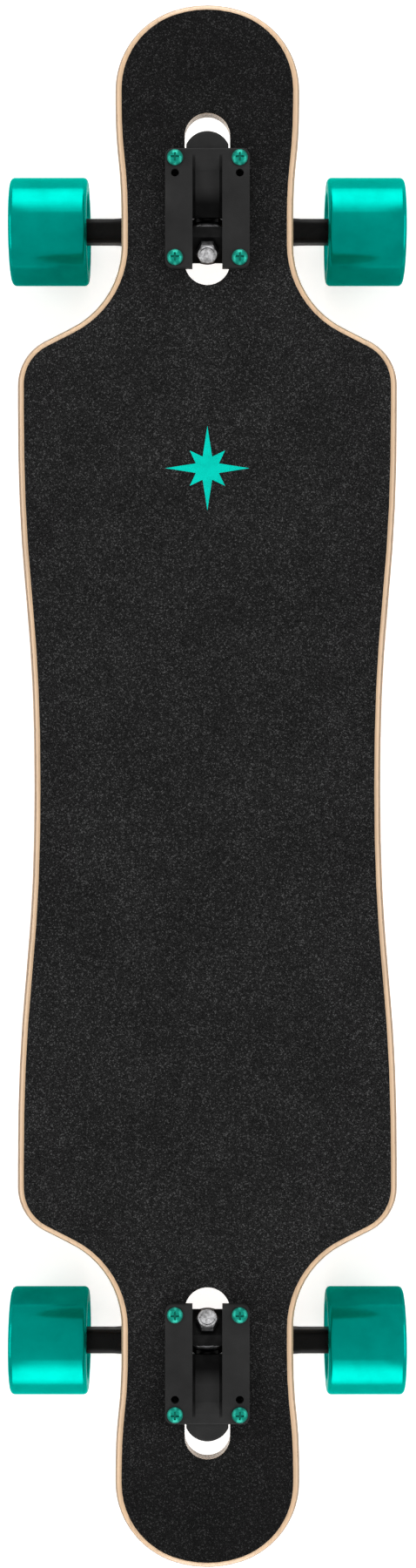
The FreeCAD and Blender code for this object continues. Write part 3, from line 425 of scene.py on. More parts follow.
@dataclass(frozen=True)
class PlyFinish(Finish):
    """Lacquered maple plies: long grain on both faces and bands along the edge."""

    cross_colour: Colour = (0.37, 0.245, 0.145)
    cross_stops: Triple = (0.3, 0.55, 0.8)
    glue_colour: Colour = (0.16, 0.095, 0.055)
    glue_share: float = 0.07
    plies: int = 7
    thickness: float = 0.010
    underside: float = 0.084
    flat_half: float = 0.031
    concave_radius: float = 0.6
    face_share: float = 0.2
    fibre_scale: Triple = (520.0, 9.0, 520.0)
    figure_scale: Triple = (60.0, 3.2, 60.0)
    figure_share: float = 0.35
    figure_shade: float = 0.7
    pore_scale: Triple = (1500.0, 1500.0, 1500.0)

    def ply(self, graph: Graph, place: Socket) -> Socket:
        """How many plies lie below a point, counted along the dished deck.

        Args:
            graph: The wood's nodes.
            place: The point.

        Returns:
            The count, held inside the outer plies on both faces.
        """
        across, _, up = graph.axes(place)
        beyond = graph.math("SUBTRACT", graph.math("ABSOLUTE", across), self.flat_half)
        beyond = graph.math("MAXIMUM", beyond, 0.0)
        rise = graph.math("DIVIDE", graph.math("MULTIPLY", beyond, beyond), 2 * self.concave_radius)
        height = graph.math("SUBTRACT", graph.math("SUBTRACT", up, rise), self.underside)
        count = graph.span(height, 0.0, float(self.plies), 0.0, self.thickness)
        count = graph.math("MAXIMUM", count, self.face_share)
        return graph.math("MINIMUM", count, self.plies - self.face_share)

    def paint(self, graph: Graph) -> None:
        """Lays out the plies and their grain."""
        place = graph.place()
        ply = self.ply(graph, place)
        layer = graph.math("FLOOR", ply)
        phase = graph.math("SUBTRACT", ply, layer)
        crossed = graph.math("MODULO", layer, 2.0)
        from_glue = graph.math("MINIMUM", phase, graph.math("SUBTRACT", 1.0, phase))
        glue = graph.span(from_glue, 1.0, 0.0, self.glue_share / 2, self.glue_share)
        fibre = graph.noise(graph.stretched(place, self.fibre_scale), 1.0, detail=5.0, rough=0.6)
        figure = graph.noise(graph.stretched(place, self.figure_scale), 1.0, detail=3.0, rough=0.55)
        pores = graph.noise(graph.stretched(place, self.pore_scale), 1.0, detail=2.0, rough=0.7)
        figured = graph.span(figure, 0.0, self.figure_share, from_low=0.45, from_high=0.75)
        long_grain = graph.ramp(fibre, shades(self.colour, dark=0.72, light=1.12))
        long_grain = graph.mix(figured, long_grain, scaled(self.colour, self.figure_shade))
        cross_grain = graph.ramp(pores, shades(self.cross_colour, 0.65, 1.2, self.cross_stops))
        wood = graph.mix(crossed, long_grain, cross_grain)
        graph.surface(
            Base_Color=graph.mix(glue, wood, self.glue_colour),
            Roughness=graph.span(fibre, low=0.34, high=0.5),
            Coat_Weight=0.35,
            Coat_Roughness=0.12,
        )
        graph.relief(fibre, depth=0.00012, strength=0.5)


@dataclass(frozen=True)
class CastingFinish(Finish):
    """Powder coat on a cast body: fine orange peel with slightly uneven gloss."""

    roughness: float = 0.5
    gloss: float = 0.28
    peel_scale: float = 900.0
    peel_depth: float = 0.00012
    sand_share: float = 0.12
    bloom_scale: float = 45.0
    bloom_stops: Triple = (0.25, 0.55, 0.85)
    # painted shade: below these heights the coat darkens to a share of its colour
    dust_low: float = 0.0
    dust_high: float = 0.0
    clean_share: float = 1.0

    def paint(self, graph: Graph) -> None:
        """Lays out the coat, darkened below one height by painted shade."""
        place = graph.place()
        peel = graph.noise(place, self.peel_scale, detail=2.0, rough=0.5)
        sand = graph.noise(place, self.peel_scale * self.sand_share, detail=4.0, rough=0.65)
        bloom = graph.noise(place, self.bloom_scale, detail=3.0, rough=0.6)
        coated = graph.ramp(bloom, shades(self.colour, 0.75, 1.35, self.bloom_stops))
        # painted shade darkens the coat below one height
        if self.dust_high > self.dust_low:
            _, _, up = graph.axes(place)
            painted_channel_shade = graph.span(up, 1.0, 0.0, self.dust_low, self.dust_high)
            coated = graph.mix(painted_channel_shade, coated, scaled(self.colour, self.clean_share))
        graph.surface(
            Base_Color=coated,
            Roughness=graph.uneven(sand, self.roughness, less=0.1, more=0.12),
            Specular_IOR_Level=self.gloss,
        )
        graph.relief(peel, self.peel_depth, strength=0.6)
        graph.relief(sand, 2 * self.peel_depth, strength=0.35)


@dataclass(frozen=True)
class MetalFinish(Finish):
    """Bare or plated steel with turning marks and a faint stain."""

    roughness: float = 0.3
    stain: Colour = (0.75, 0.68, 0.5)
    stain_share: float = 0.25
    mark_scale: float = 2400.0
    mark_stretch: Triple = (1.0, 0.15, 0.4)
    cloud_scale: float = 160.0

    def paint(self, graph: Graph) -> None:
        """Lays out the metal."""
        place = graph.place()
        marks = graph.noise(graph.stretched(place, self.mark_stretch), self.mark_scale, detail=3.0, rough=0.6)
        cloud = graph.noise(place, self.cloud_scale, detail=3.0, rough=0.6)
        stained = graph.span(cloud, 0.0, self.stain_share, from_low=0.4, from_high=0.7)
        graph.surface(
            Base_Color=graph.mix(stained, self.colour, tinted(self.colour, self.stain)),
            Metallic=1.0,
            Roughness=graph.uneven(marks, self.roughness, less=0.08, more=0.14),
        )
        graph.relief(marks, depth=0.00003, strength=0.5)


@dataclass(frozen=True)
class UrethaneFinish(Finish):
    """Glossy cast urethane with a cloudy depth and faint turning lines."""

    roughness: float = 0.15
    gloss: float = 0.0
    tint: Colour = (0.0, 1.0, 0.88)
    depth_share: float = 0.55
    cloud_scale: float = 55.0
    line_scale: Triple = (3200.0, 40.0, 40.0)

    def paint(self, graph: Graph) -> None:
        """Lays out the urethane."""
        place = graph.place()
        cloud = graph.noise(place, self.cloud_scale, detail=4.0, rough=0.55)
        lines = graph.noise(graph.stretched(place, self.line_scale), 1.0, detail=2.0, rough=0.5)
        graph.surface(
            Base_Color=graph.ramp(cloud, shades(self.colour, dark=0.86, light=1.12)),
            Roughness=graph.uneven(lines, self.roughness, less=0.01, more=0.02),
            Metallic=self.depth_share,
            Specular_IOR_Level=self.gloss,
            Specular_Tint=self.tint,
        )
        graph.relief(lines, depth=0.000004, strength=0.3)


@dataclass(frozen=True)
class EnamelFinish(Finish):
    """Coloured enamel over steel, glossy, with fine pitting."""

    roughness: float = 0.28
    # heights of the head's painted shade: round the rim and in the recess it darkens to a share of its colour
    rim_height: float = 0.1014
    dome_height: float = 0.1032
    shank_height: float = 0.095
    rim_share: float = 0.22
    pit_scale: float = 1400.0
    cloud_scale: float = 900.0

    def paint(self, graph: Graph) -> None:
        """Lays out the enamel, with painted shade in the recess and round the rim of the head."""
        place = graph.place()
        _, _, up = graph.axes(place)
        # painted shade: the head darkens below its dome, round the rim and in the recess
        dome = graph.span(up, 0.0, 1.0, self.rim_height, self.dome_height)
        shank = graph.span(up, 1.0, 0.0, self.shank_height, self.rim_height)
        lit = graph.math("MAXIMUM", dome, shank)
        pits = graph.noise(place, self.pit_scale, detail=3.0, rough=0.6)
        cloud = graph.noise(place, self.cloud_scale, detail=2.0, rough=0.5)
        enamel = graph.ramp(cloud, shades(self.colour, dark=0.7, light=1.3))
        graph.surface(
            Base_Color=graph.mix(lit, scaled(self.colour, self.rim_share), enamel),
            Metallic=0.5,
            Roughness=graph.uneven(pits, self.roughness, less=0.08, more=0.12),
            Specular_IOR_Level=0.12,
            Coat_Weight=0.05,
            Coat_Roughness=0.15,
        )
        graph.relief(pits, depth=0.00004, strength=0.5)


@dataclass(frozen=True)
class MouldedFinish(Finish):
    """Moulded plastic or rubber with a fine spark-eroded texture."""

    roughness: float = 0.45
    grain_scale: float = 1800.0
    cloud_scale: float = 120.0
    gloss: float = 0.5

    def paint(self, graph: Graph) -> None:
        """Lays out the plastic."""
        place = graph.place()
        grain = graph.noise(place, self.grain_scale, detail=2.0, rough=0.6)
        cloud = graph.noise(place, self.cloud_scale, detail=3.0, rough=0.55)
        graph.surface(
            Base_Color=graph.ramp(cloud, shades(self.colour, dark=0.85, light=1.12)),
            Roughness=graph.uneven(grain, self.roughness, less=0.08, more=0.1),
            Specular_IOR_Level=self.gloss,
        )
        graph.relief(grain, depth=0.00005, strength=0.5)


GRIP = GripFinish("black_grip", grey(0.0078))
PLY = PlyFinish("maple_plies", (0.80, 0.545, 0.335))
# the baseplate's coat darkens to near black below one height: painted shade in its channel
PLATE_COAT = CastingFinish(
    "plate_powder_coat", grey(0.026), gloss=0.05, dust_low=0.0945, dust_high=0.0978, clean_share=0.04)
HANGER_COAT = CastingFinish("hanger_powder_coat", grey(0.006), roughness=0.3, gloss=0.06)
ZINC = MetalFinish(
    "bright_zinc_plate", (0.34, 0.345, 0.35), roughness=0.34, stain=(0.45, 0.43, 0.40), stain_share=0.7)
KINGPIN_STEEL = MetalFinish(
    "grey_plated_steel", (0.21, 0.21, 0.214), roughness=0.36, stain=(0.2, 0.195, 0.19), stain_share=0.95,
    cloud_scale=300.0)
DARK_ZINC = MetalFinish("dark_zinc_plate", (0.10, 0.10, 0.105), roughness=0.42)
GROUND_STEEL = MetalFinish("ground_steel", (0.50, 0.50, 0.51), roughness=0.24, stain_share=0.1)
BEARING_STEEL = MetalFinish("polished_bearing_steel", (0.66, 0.66, 0.67), roughness=0.14, stain_share=0.05)
BOLT_ENAMEL = EnamelFinish("teal_enamel", (0.003, 0.25, 0.185))
NUT_OXIDE = CastingFinish("black_oxide", grey(0.022), roughness=0.36, peel_scale=1600.0)
TEAL_URETHANE = UrethaneFinish("glossy_teal_urethane", (0.0, 0.28, 0.232))
BUSHING_URETHANE = UrethaneFinish(
    "black_bushing_urethane", (0.012, 0.012, 0.013), roughness=0.3, gloss=0.3, tint=grey(1.0),
    depth_share=0.0)
STAR = MouldedFinish("teal_sheet", (0.0, 0.66, 0.53), roughness=0.6, grain_scale=1400.0, gloss=0.05)
CORE_NYLON = MouldedFinish("core_nylon", (0.78, 0.79, 0.77), roughness=0.38)
CAGE_NYLON = MouldedFinish("cage_nylon", (0.72, 0.68, 0.56))
CUP_PLASTIC = MouldedFinish("black_cup_plastic", grey(0.02))
SHIELD_RUBBER = MouldedFinish("shield_rubber", grey(0.018), roughness=0.55)
COLLAR_NYLON = MouldedFinish("collar_nylon", (0.62, 0.64, 0.62), roughness=0.35)


def coat(node: str, finish: Finish) -> None:
    """Gives a solid of the frame its finish.

    Args:
        node: The solid's name.
        finish: What covers it.
    """
    slots = frame["nodes"][node].data.materials
    slots.clear()
    slots.append(finish.material())
    LOG.info("%s: coated with %s", node, finish.name)


def kingpin_frame(end: End) -> tuple[Vector, Vector]:
    """Where one truck's kingpin stands.

    Args:
        end: Which truck.

    Returns:
        The middle of the hanger's ring, and the kingpin's upward direction.
    """
    joint = next(j for j in frame["joints"] if j["name"] == f"{end.label}_steer")
    across = Vector((end.value, 0, 0))
    return Vector(joint["pos_m"]), across.cross(Vector(joint["axis"])).normalized()


def facing(direction: Vector, place: Vector) -> Matrix:
    """A turn that lays Z along a direction, then a move to a place."""
    return Matrix.Translation(place) @ direction.to_track_quat("Z", "Y").to_matrix().to_4x4()


def both_faces(upper: Outline) -> Outline:
    """An outline from its upper half, with its mirror image below in front of it."""
    return [(radius, -height) for radius, height in reversed(upper)] + upper


class Shape:
    """A mesh in the making, shaped by bmesh operators about its own Z axis."""

    def __init__(self) -> None:
        """Starts with an empty mesh."""
        self.bm = bmesh.new()

    def outline(self, points: Outline, rounds: dict[int, float], segments: int) -> None:
        """Draws a closed outline of (radius, height) points in the XZ plane.

        Args:
            points: The corners.
            rounds: The radius of each corner that is rounded, by its place in the row.
            segments: How many steps a round corner has.
        """
        corners = [self.bm.verts.new((radius, 0, height)) for radius, height in points]
        for first, second in zip(corners, corners[1:] + corners[:1]):
            self.bm.edges.new((first, second))
        for index, radius in rounds.items():
            bmesh.ops.bevel(self.bm, geom=[corners[index]], offset=radius, offset_type="OFFSET",
                            affect="VERTICES", segments=segments, profile=ROUND_PROFILE,
                            material=SAME_MATERIAL)

    def turn(self, steps: int) -> None:
        """Spins what is drawn once round Z.

        Args:
            steps: Steps of the full turn.
        """
        bmesh.ops.spin(self.bm, geom=self.bm.verts[:] + self.bm.edges[:], cent=(0, 0, 0), axis=(0, 0, 1),
                       dvec=(0, 0, 0), angle=FULL_TURN, steps=steps, use_merge=True)

    def screw(self, turns: float, pitch: float, steps: int) -> None:
        """Winds what is drawn up around Z as a thread.

        Args:
            turns: How many times round.
            pitch: The rise of one turn.
            steps: Steps of one turn.
        """
        count = round(turns * steps)
        bmesh.ops.spin(self.bm, geom=self.bm.verts[:] + self.bm.edges[:], cent=(0, 0, 0), axis=(0, 0, 1),
                       dvec=(0, 0, pitch / steps), angle=FULL_TURN * turns, steps=count)
        open_edges = [edge for edge in self.bm.edges if edge.is_boundary]
        bmesh.ops.holes_fill(self.bm, edges=open_edges, sides=0)

    def copies(self, places: Sequence[Matrix]) -> None:
        """Sets one copy of the shape at each place.

        Args:
            places: Where the copies go.
        """
        model = self.bm.verts[:] + self.bm.edges[:] + self.bm.faces[:]
        for place in places[1:]:
            made = bmesh.ops.duplicate(self.bm, geom=model)["geom"]
            fresh = [item for item in made if isinstance(item, bmesh.types.BMVert)]
            bmesh.ops.transform(self.bm, matrix=place, verts=fresh)
        first = [item for item in model if isinstance(item, bmesh.types.BMVert)]
        bmesh.ops.transform(self.bm, matrix=places[0], verts=first)

    def sink(self, faces: Sequence[bmesh.types.BMFace], depth: float) -> None:
        """Sinks faces on the top and the underside into the shape.

        Args:
            faces: The faces, level before and after.
            depth: How far they go in.
        """
        made = bmesh.ops.extrude_face_region(self.bm, geom=list(faces))["geom"]
        fresh = [item for item in made if isinstance(item, bmesh.types.BMVert)]
        for way in (1, -1):
            level = [vert for vert in fresh if vert.co.z * way > 0]
            bmesh.ops.translate(self.bm, verts=level, vec=(0, 0, -way * depth))
        bmesh.ops.delete(self.bm, geom=list(faces), context="FACES")

    def ease(self, height: float, width: float, segments: int) -> None:
        """Rounds the sharp edges of the top and the underside.

        Args:
            height: How far both lie from the middle.
            width: The width of the rounding.
            segments: How many steps it has.
        """
        bmesh.ops.recalc_face_normals(self.bm, faces=self.bm.faces[:])
        rims = [edge for edge in self.bm.edges
                if all(math.isclose(abs(vert.co.z), height, rel_tol=LEVEL_MATCH) for vert in edge.verts)
                and edge.calc_face_angle(0.0) > EASED_ANGLE]
        bmesh.ops.bevel(self.bm, geom=rims, offset=width, offset_type="OFFSET", affect="EDGES",
                        segments=segments, profile=ROUND_PROFILE, material=SAME_MATERIAL)

    def piece(self, name: str, finish: Finish, body: str, slot: str) -> bpy.types.Object:
        """Closes the mesh and makes it a piece that rides on a body.

        Args:
            name: The piece's name.
            finish: What covers it.
            body: The body that it moves with.
            slot: The record's material slot; not used.

        Returns:
            The piece.
        """
        bmesh.ops.remove_doubles(self.bm, verts=self.bm.verts[:], dist=MERGE_DISTANCE)
        bmesh.ops.recalc_face_normals(self.bm, faces=self.bm.faces[:])
        mesh = bpy.data.meshes.new(name)
        self.bm.to_mesh(mesh)
        self.bm.free()
        mesh.shade_smooth()
        mesh.set_sharp_from_angle(angle=math.radians(CREASE_ANGLE))
        mesh.materials.append(finish.material())
        made = bpy.data.objects.new(name, mesh)
        bpy.context.scene.collection.objects.link(made)
        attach(made, body)
        LOG.info("%s: %d faces on %s", name, len(mesh.polygons), body)
        return made


@dataclass
class Deck:
    """The plywood deck with its grip tape and star."""

    wood: PlyFinish = PLY
    tape: GripFinish = GRIP
    star: MouldedFinish = STAR

    def dress(self) -> None:
        """Coats the deck's solids."""
        for node, finish in (("deck", self.wood), ("grip_tape", self.tape), ("grip_star", self.star)):
            coat(node, finish)


@dataclass(frozen=True)
class Thread:
    """A thread cut on a rod, its shape given in shares of the pitch."""

    radius: float
    pitch: float
    crest_share: float = 0.16
    root_share: float = 0.1
    half_share: float = 0.36
    flat_share: float = 0.054
    steps: int = 32

    def shape(self, length: float) -> Shape:
        """The thread, standing on the XY plane.

        Args:
            length: How far up it runs.

        Returns:
            The shape.
        """
        crest = self.radius + self.pitch * self.crest_share
        root = self.radius - self.pitch * self.root_share
        half = self.pitch * self.half_share
        flat = self.pitch * self.flat_share
        points = [(root, 0), (crest, half - flat), (crest, half + flat), (root, 2 * half)]
        made = Shape()
        made.outline(points, rounds={}, segments=1)
        made.screw((length - 2 * half) / self.pitch, self.pitch, self.steps)
        return made


@dataclass(frozen=True)
class Collar:
    """The nylon ring in the end of a lock nut, its round edges given in shares of its height."""

    bore: float
    rim: float
    height: float
    rim_round: float = 0.6
    bore_round: float = 0.25
    round_steps: int = 4
    steps: int = 48

    def shape(self) -> Shape:
        """The collar, standing on the XY plane."""
        made = Shape()
        points = [(self.bore, 0), (self.rim, 0), (self.rim, self.height), (self.bore, self.height)]
        rounds = {2: self.height * self.rim_round, 3: self.height * self.bore_round}
        made.outline(points, rounds, self.round_steps)
        made.turn(self.steps)
        return made


@dataclass
class Truck:
    """One steering truck and the bolts that hold it."""

    end: End
    holes_across: float = 0.04128
    holes_along: float = 0.0635
    bolt_thread: Thread = Thread(radius=0.0024, pitch=0.0008)
    bolt_collar: Collar = Collar(bore=0.002448, rim=0.0038, height=0.0009)
    kingpin_thread: Thread = Thread(radius=0.00476, pitch=0.00106)
    kingpin_collar: Collar = Collar(bore=0.0048076, rim=0.0064, height=0.0011)
    kingpin_tip: float = 0.0024
    kingpin_nut_height: float = 0.0075
    kingpin_nut_below_ring: float = 0.016
    axle_collar: Collar = Collar(bore=0.00402, rim=0.0056, height=0.0010)

    def node(self, name: str) -> str:
        """A node's full name on this truck."""
        return f"{self.end.label}_{name}"

    def bolt_places(self, height: float) -> list[Matrix]:
        """Where the four mounting bolts are, at a height."""
        low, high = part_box(self.node("mounting_bolts"))
        middle = (low + high) / 2
        across, along = self.holes_across / 2, self.holes_along / 2
        return [Matrix.Translation((middle.x + x * across, middle.y + y * along, height))
                for x in (-1, 1) for y in (-1, 1)]

    def build(self) -> None:
        """Adds the threads and the lock nuts' collars."""
        self.build_bolts()
        self.build_kingpin()
        self.build_axle()

    def build_bolts(self) -> None:
        """Adds the threads below the mounting bolts' nuts, and the nuts' collars."""
        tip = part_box(self.node("mounting_bolts"))[0].z
        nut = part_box(self.node("mounting_nuts"))[0].z
        thread = self.bolt_thread.shape(nut - tip)
        thread.copies(self.bolt_places(tip))
        thread.piece(self.node("bolt_threads"), BOLT_ENAMEL, "board", "teal_bolt")
        collar = self.bolt_collar.shape()
        downward = Matrix.Rotation(math.pi, 4, "X")
        collar.copies([place @ downward for place in self.bolt_places(nut)])
        collar.piece(self.node("bolt_collars"), COLLAR_NYLON, "board", "core_plastic")

    def build_kingpin(self) -> None:
        """Adds the collar of the kingpin's nut, and the thread below it."""
        ring, upward = kingpin_frame(self.end)
        seat = ring - upward * (self.kingpin_nut_below_ring + self.kingpin_nut_height)
        collar = self.kingpin_collar.shape()
        collar.copies([facing(-upward, seat)])
        collar.piece(self.node("kingpin_collar"), COLLAR_NYLON, "board", "core_plastic")
        thread = self.kingpin_thread.shape(self.kingpin_tip)
        thread.copies([facing(-upward, seat)])
        thread.piece(self.node("kingpin_thread"), KINGPIN_STEEL, "board", "zinc_steel")

    def build_axle(self) -> None:
        """Adds the collars of the axle nuts."""
        low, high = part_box(self.node("axle_nuts"))
        middle = (low + high) / 2
        collar = self.axle_collar.shape()
        collar.copies([facing(RIGHTWARD, Vector((high.x, middle.y, middle.z))),
                       facing(-RIGHTWARD, Vector((low.x, middle.y, middle.z)))])
        collar.piece(self.node("axle_collars"), COLLAR_NYLON, self.node("hanger_body"), "core_plastic")

    def dress(self) -> None:
        """Coats the truck's solids."""
        finishes = {
            "baseplate": PLATE_COAT, "hanger": HANGER_COAT, "pivot_cup": CUP_PLASTIC,
            "kingpin": KINGPIN_STEEL, "kingpin_nut": ZINC, "bushing_washers": DARK_ZINC,
            "boardside_bushing": BUSHING_URETHANE, "roadside_bushing": BUSHING_URETHANE,
            "axle": GROUND_STEEL, "axle_nuts": ZINC, "speed_rings": GROUND_STEEL,
            "bearing_spacers": GROUND_STEEL, "bearing_inner_rings": BEARING_STEEL,
            "mounting_bolts": BOLT_ENAMEL, "mounting_nuts": NUT_OXIDE,
        }
        for name, finish in finishes.items():
            coat(self.node(name), finish)


@dataclass
class Wheel:
    """One wheel: its urethane tyre, core and bearings."""

    end: End
    side: Side
    rim: float = 0.009
    lip_radius: float = 0.003
    dish_round: float = 0.0012
    round_steps: int = 8
    groove_width: float = 0.0009
    groove_depth: float = 0.0004
    tyre_bore: float = 0.01702
    tyre_bore_half: float = 0.014
    tyre_steps: int = 160
    seat_radius: float = 0.01102
    seat_half: float = 0.005
    core_bore: float = 0.008
    core_edge: float = 0.0003
    core_edge_steps: int = 2
    pocket_radii: tuple[float, float] = (0.0125, 0.0155)
    pocket_depth: float = 0.003
    pocket_count: int = 9
    pocket_steps: int = 12
    rib_share: float = 1 / 6

    def node(self, name: str) -> str:
        """A node's full name on this wheel."""
        return f"{self.end.label}_{self.side.label}_{name}"

    @property
    def body(self) -> str:
        """The body that the wheel turns on."""
        return self.node("wheel_body")

    def build(self) -> None:
        """Makes the tyre and the core."""
        self.build_tyre()
        self.build_core()

    def build_tyre(self) -> None:
        """Turns the tyre, with round lips, a dished face and a fine ring on either side."""
        node = self.node("wheel_tyre")
        low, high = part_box(node)
        radius, half = (high.z - low.z) / 2, (high.x - low.x) / 2
        groove = radius - self.rim / 2
        lip, dish = (radius, half), (radius - self.rim, half)
        upper = [
            lip,
            (groove + self.groove_width / 2, half),
            (groove, half - self.groove_depth),
            (groove - self.groove_width / 2, half),
            dish,
            (self.tyre_bore, self.tyre_bore_half),
        ]
        rounds = {}
        for corner, size in ((lip, self.lip_radius), (dish, self.dish_round)):
            place = upper.index(corner)
            rounds |= {len(upper) - 1 - place: size, len(upper) + place: size}
        shape = Shape()
        shape.outline(both_faces(upper), rounds, self.round_steps)
        shape.turn(self.tyre_steps)
        shape.copies([facing(RIGHTWARD, (low + high) / 2)])
        tyre = shape.piece(self.node("tyre"), TEAL_URETHANE, self.body, "teal_urethane")
        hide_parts(node)

    def in_pocket(self, place: Vector) -> bool:
        """Whether a place on the core's face lies in a pocket, not on a rib or a rim."""
        inner, outer = self.pocket_radii
        turned = math.atan2(place.y, place.x) / FULL_TURN * self.pocket_count
        return inner < place.xy.length < outer and turned % 1.0 > self.rib_share

    def build_core(self) -> None:
        """Turns the core with its two bearing seats, and moulds a ring of pockets into either face."""
        node = self.node("wheel_core")
        low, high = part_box(node)
        radius, half = (high.z - low.z) / 2, (high.x - low.x) / 2
        inner, outer = self.pocket_radii
        upper = [
            (radius, half),
            (outer, half),
            (inner, half),
            (self.seat_radius, half),
            (self.seat_radius, self.seat_half),
            (self.core_bore, self.seat_half),
        ]
        shape = Shape()
        shape.outline(both_faces(upper), rounds={}, segments=1)
        shape.turn(self.pocket_count * self.pocket_steps)
        places = {face: face.calc_center_median() for face in shape.bm.faces}
        level = {face: place for face, place in places.items()
                 if math.isclose(abs(place.z), half, rel_tol=LEVEL_MATCH)}
        shape.sink([face for face, place in level.items() if self.in_pocket(place)], self.pocket_depth)
        shape.ease(half, self.core_edge, self.core_edge_steps)
        shape.copies([facing(RIGHTWARD, (low + high) / 2)])
        core = shape.piece(self.node("core"), CORE_NYLON, self.body, "core_plastic")
        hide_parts(node)

    def dress(self) -> None:
        """Coats the wheel's solids."""
        finishes = {
            "wheel_tyre": TEAL_URETHANE, "wheel_core": CORE_NYLON, "bearing_outer_rings": BEARING_STEEL,
            "bearing_shields": SHIELD_RUBBER, "bearing_balls": BEARING_STEEL, "bearing_cages": CAGE_NYLON,
        }
        for name, finish in finishes.items():
            coat(self.node(name), finish)


@dataclass(frozen=True)
class Patch:
    """A part of the floor that keeps its own shading, and its mirror images about the board's middle."""

    centre: tuple[float, float]
    half: tuple[float, float]
    core: float = 0.5
    squareness: float = 3.0

    def outward(self, graph: Graph, across: Socket, along: Socket) -> Socket:
        """How far out a place lies, from 0 in the patch's core to 1 on its edge.

        Args:
            graph: The floor's nodes.
            across: The place's distance from the board's long middle line.
            along: The place's distance from the board's middle.

        Returns:
            The value.
        """
        powers = []
        for place, middle, half in zip((across, along), self.centre, self.half):
            offset = graph.math("ABSOLUTE", graph.math("SUBTRACT", place, middle))
            powers.append(graph.math("POWER", graph.math("DIVIDE", offset, half), self.squareness))
        out = graph.math("POWER", graph.math("ADD", *powers), 1 / self.squareness)
        return graph.span(out, 0.0, 1.0, self.core, 1.0)


@dataclass(frozen=True)
class Strip:
    """A strip of an end's lamp: where it starts and stops above the floor, and how bright it is."""

    bottom: float
    top: float
    share: float


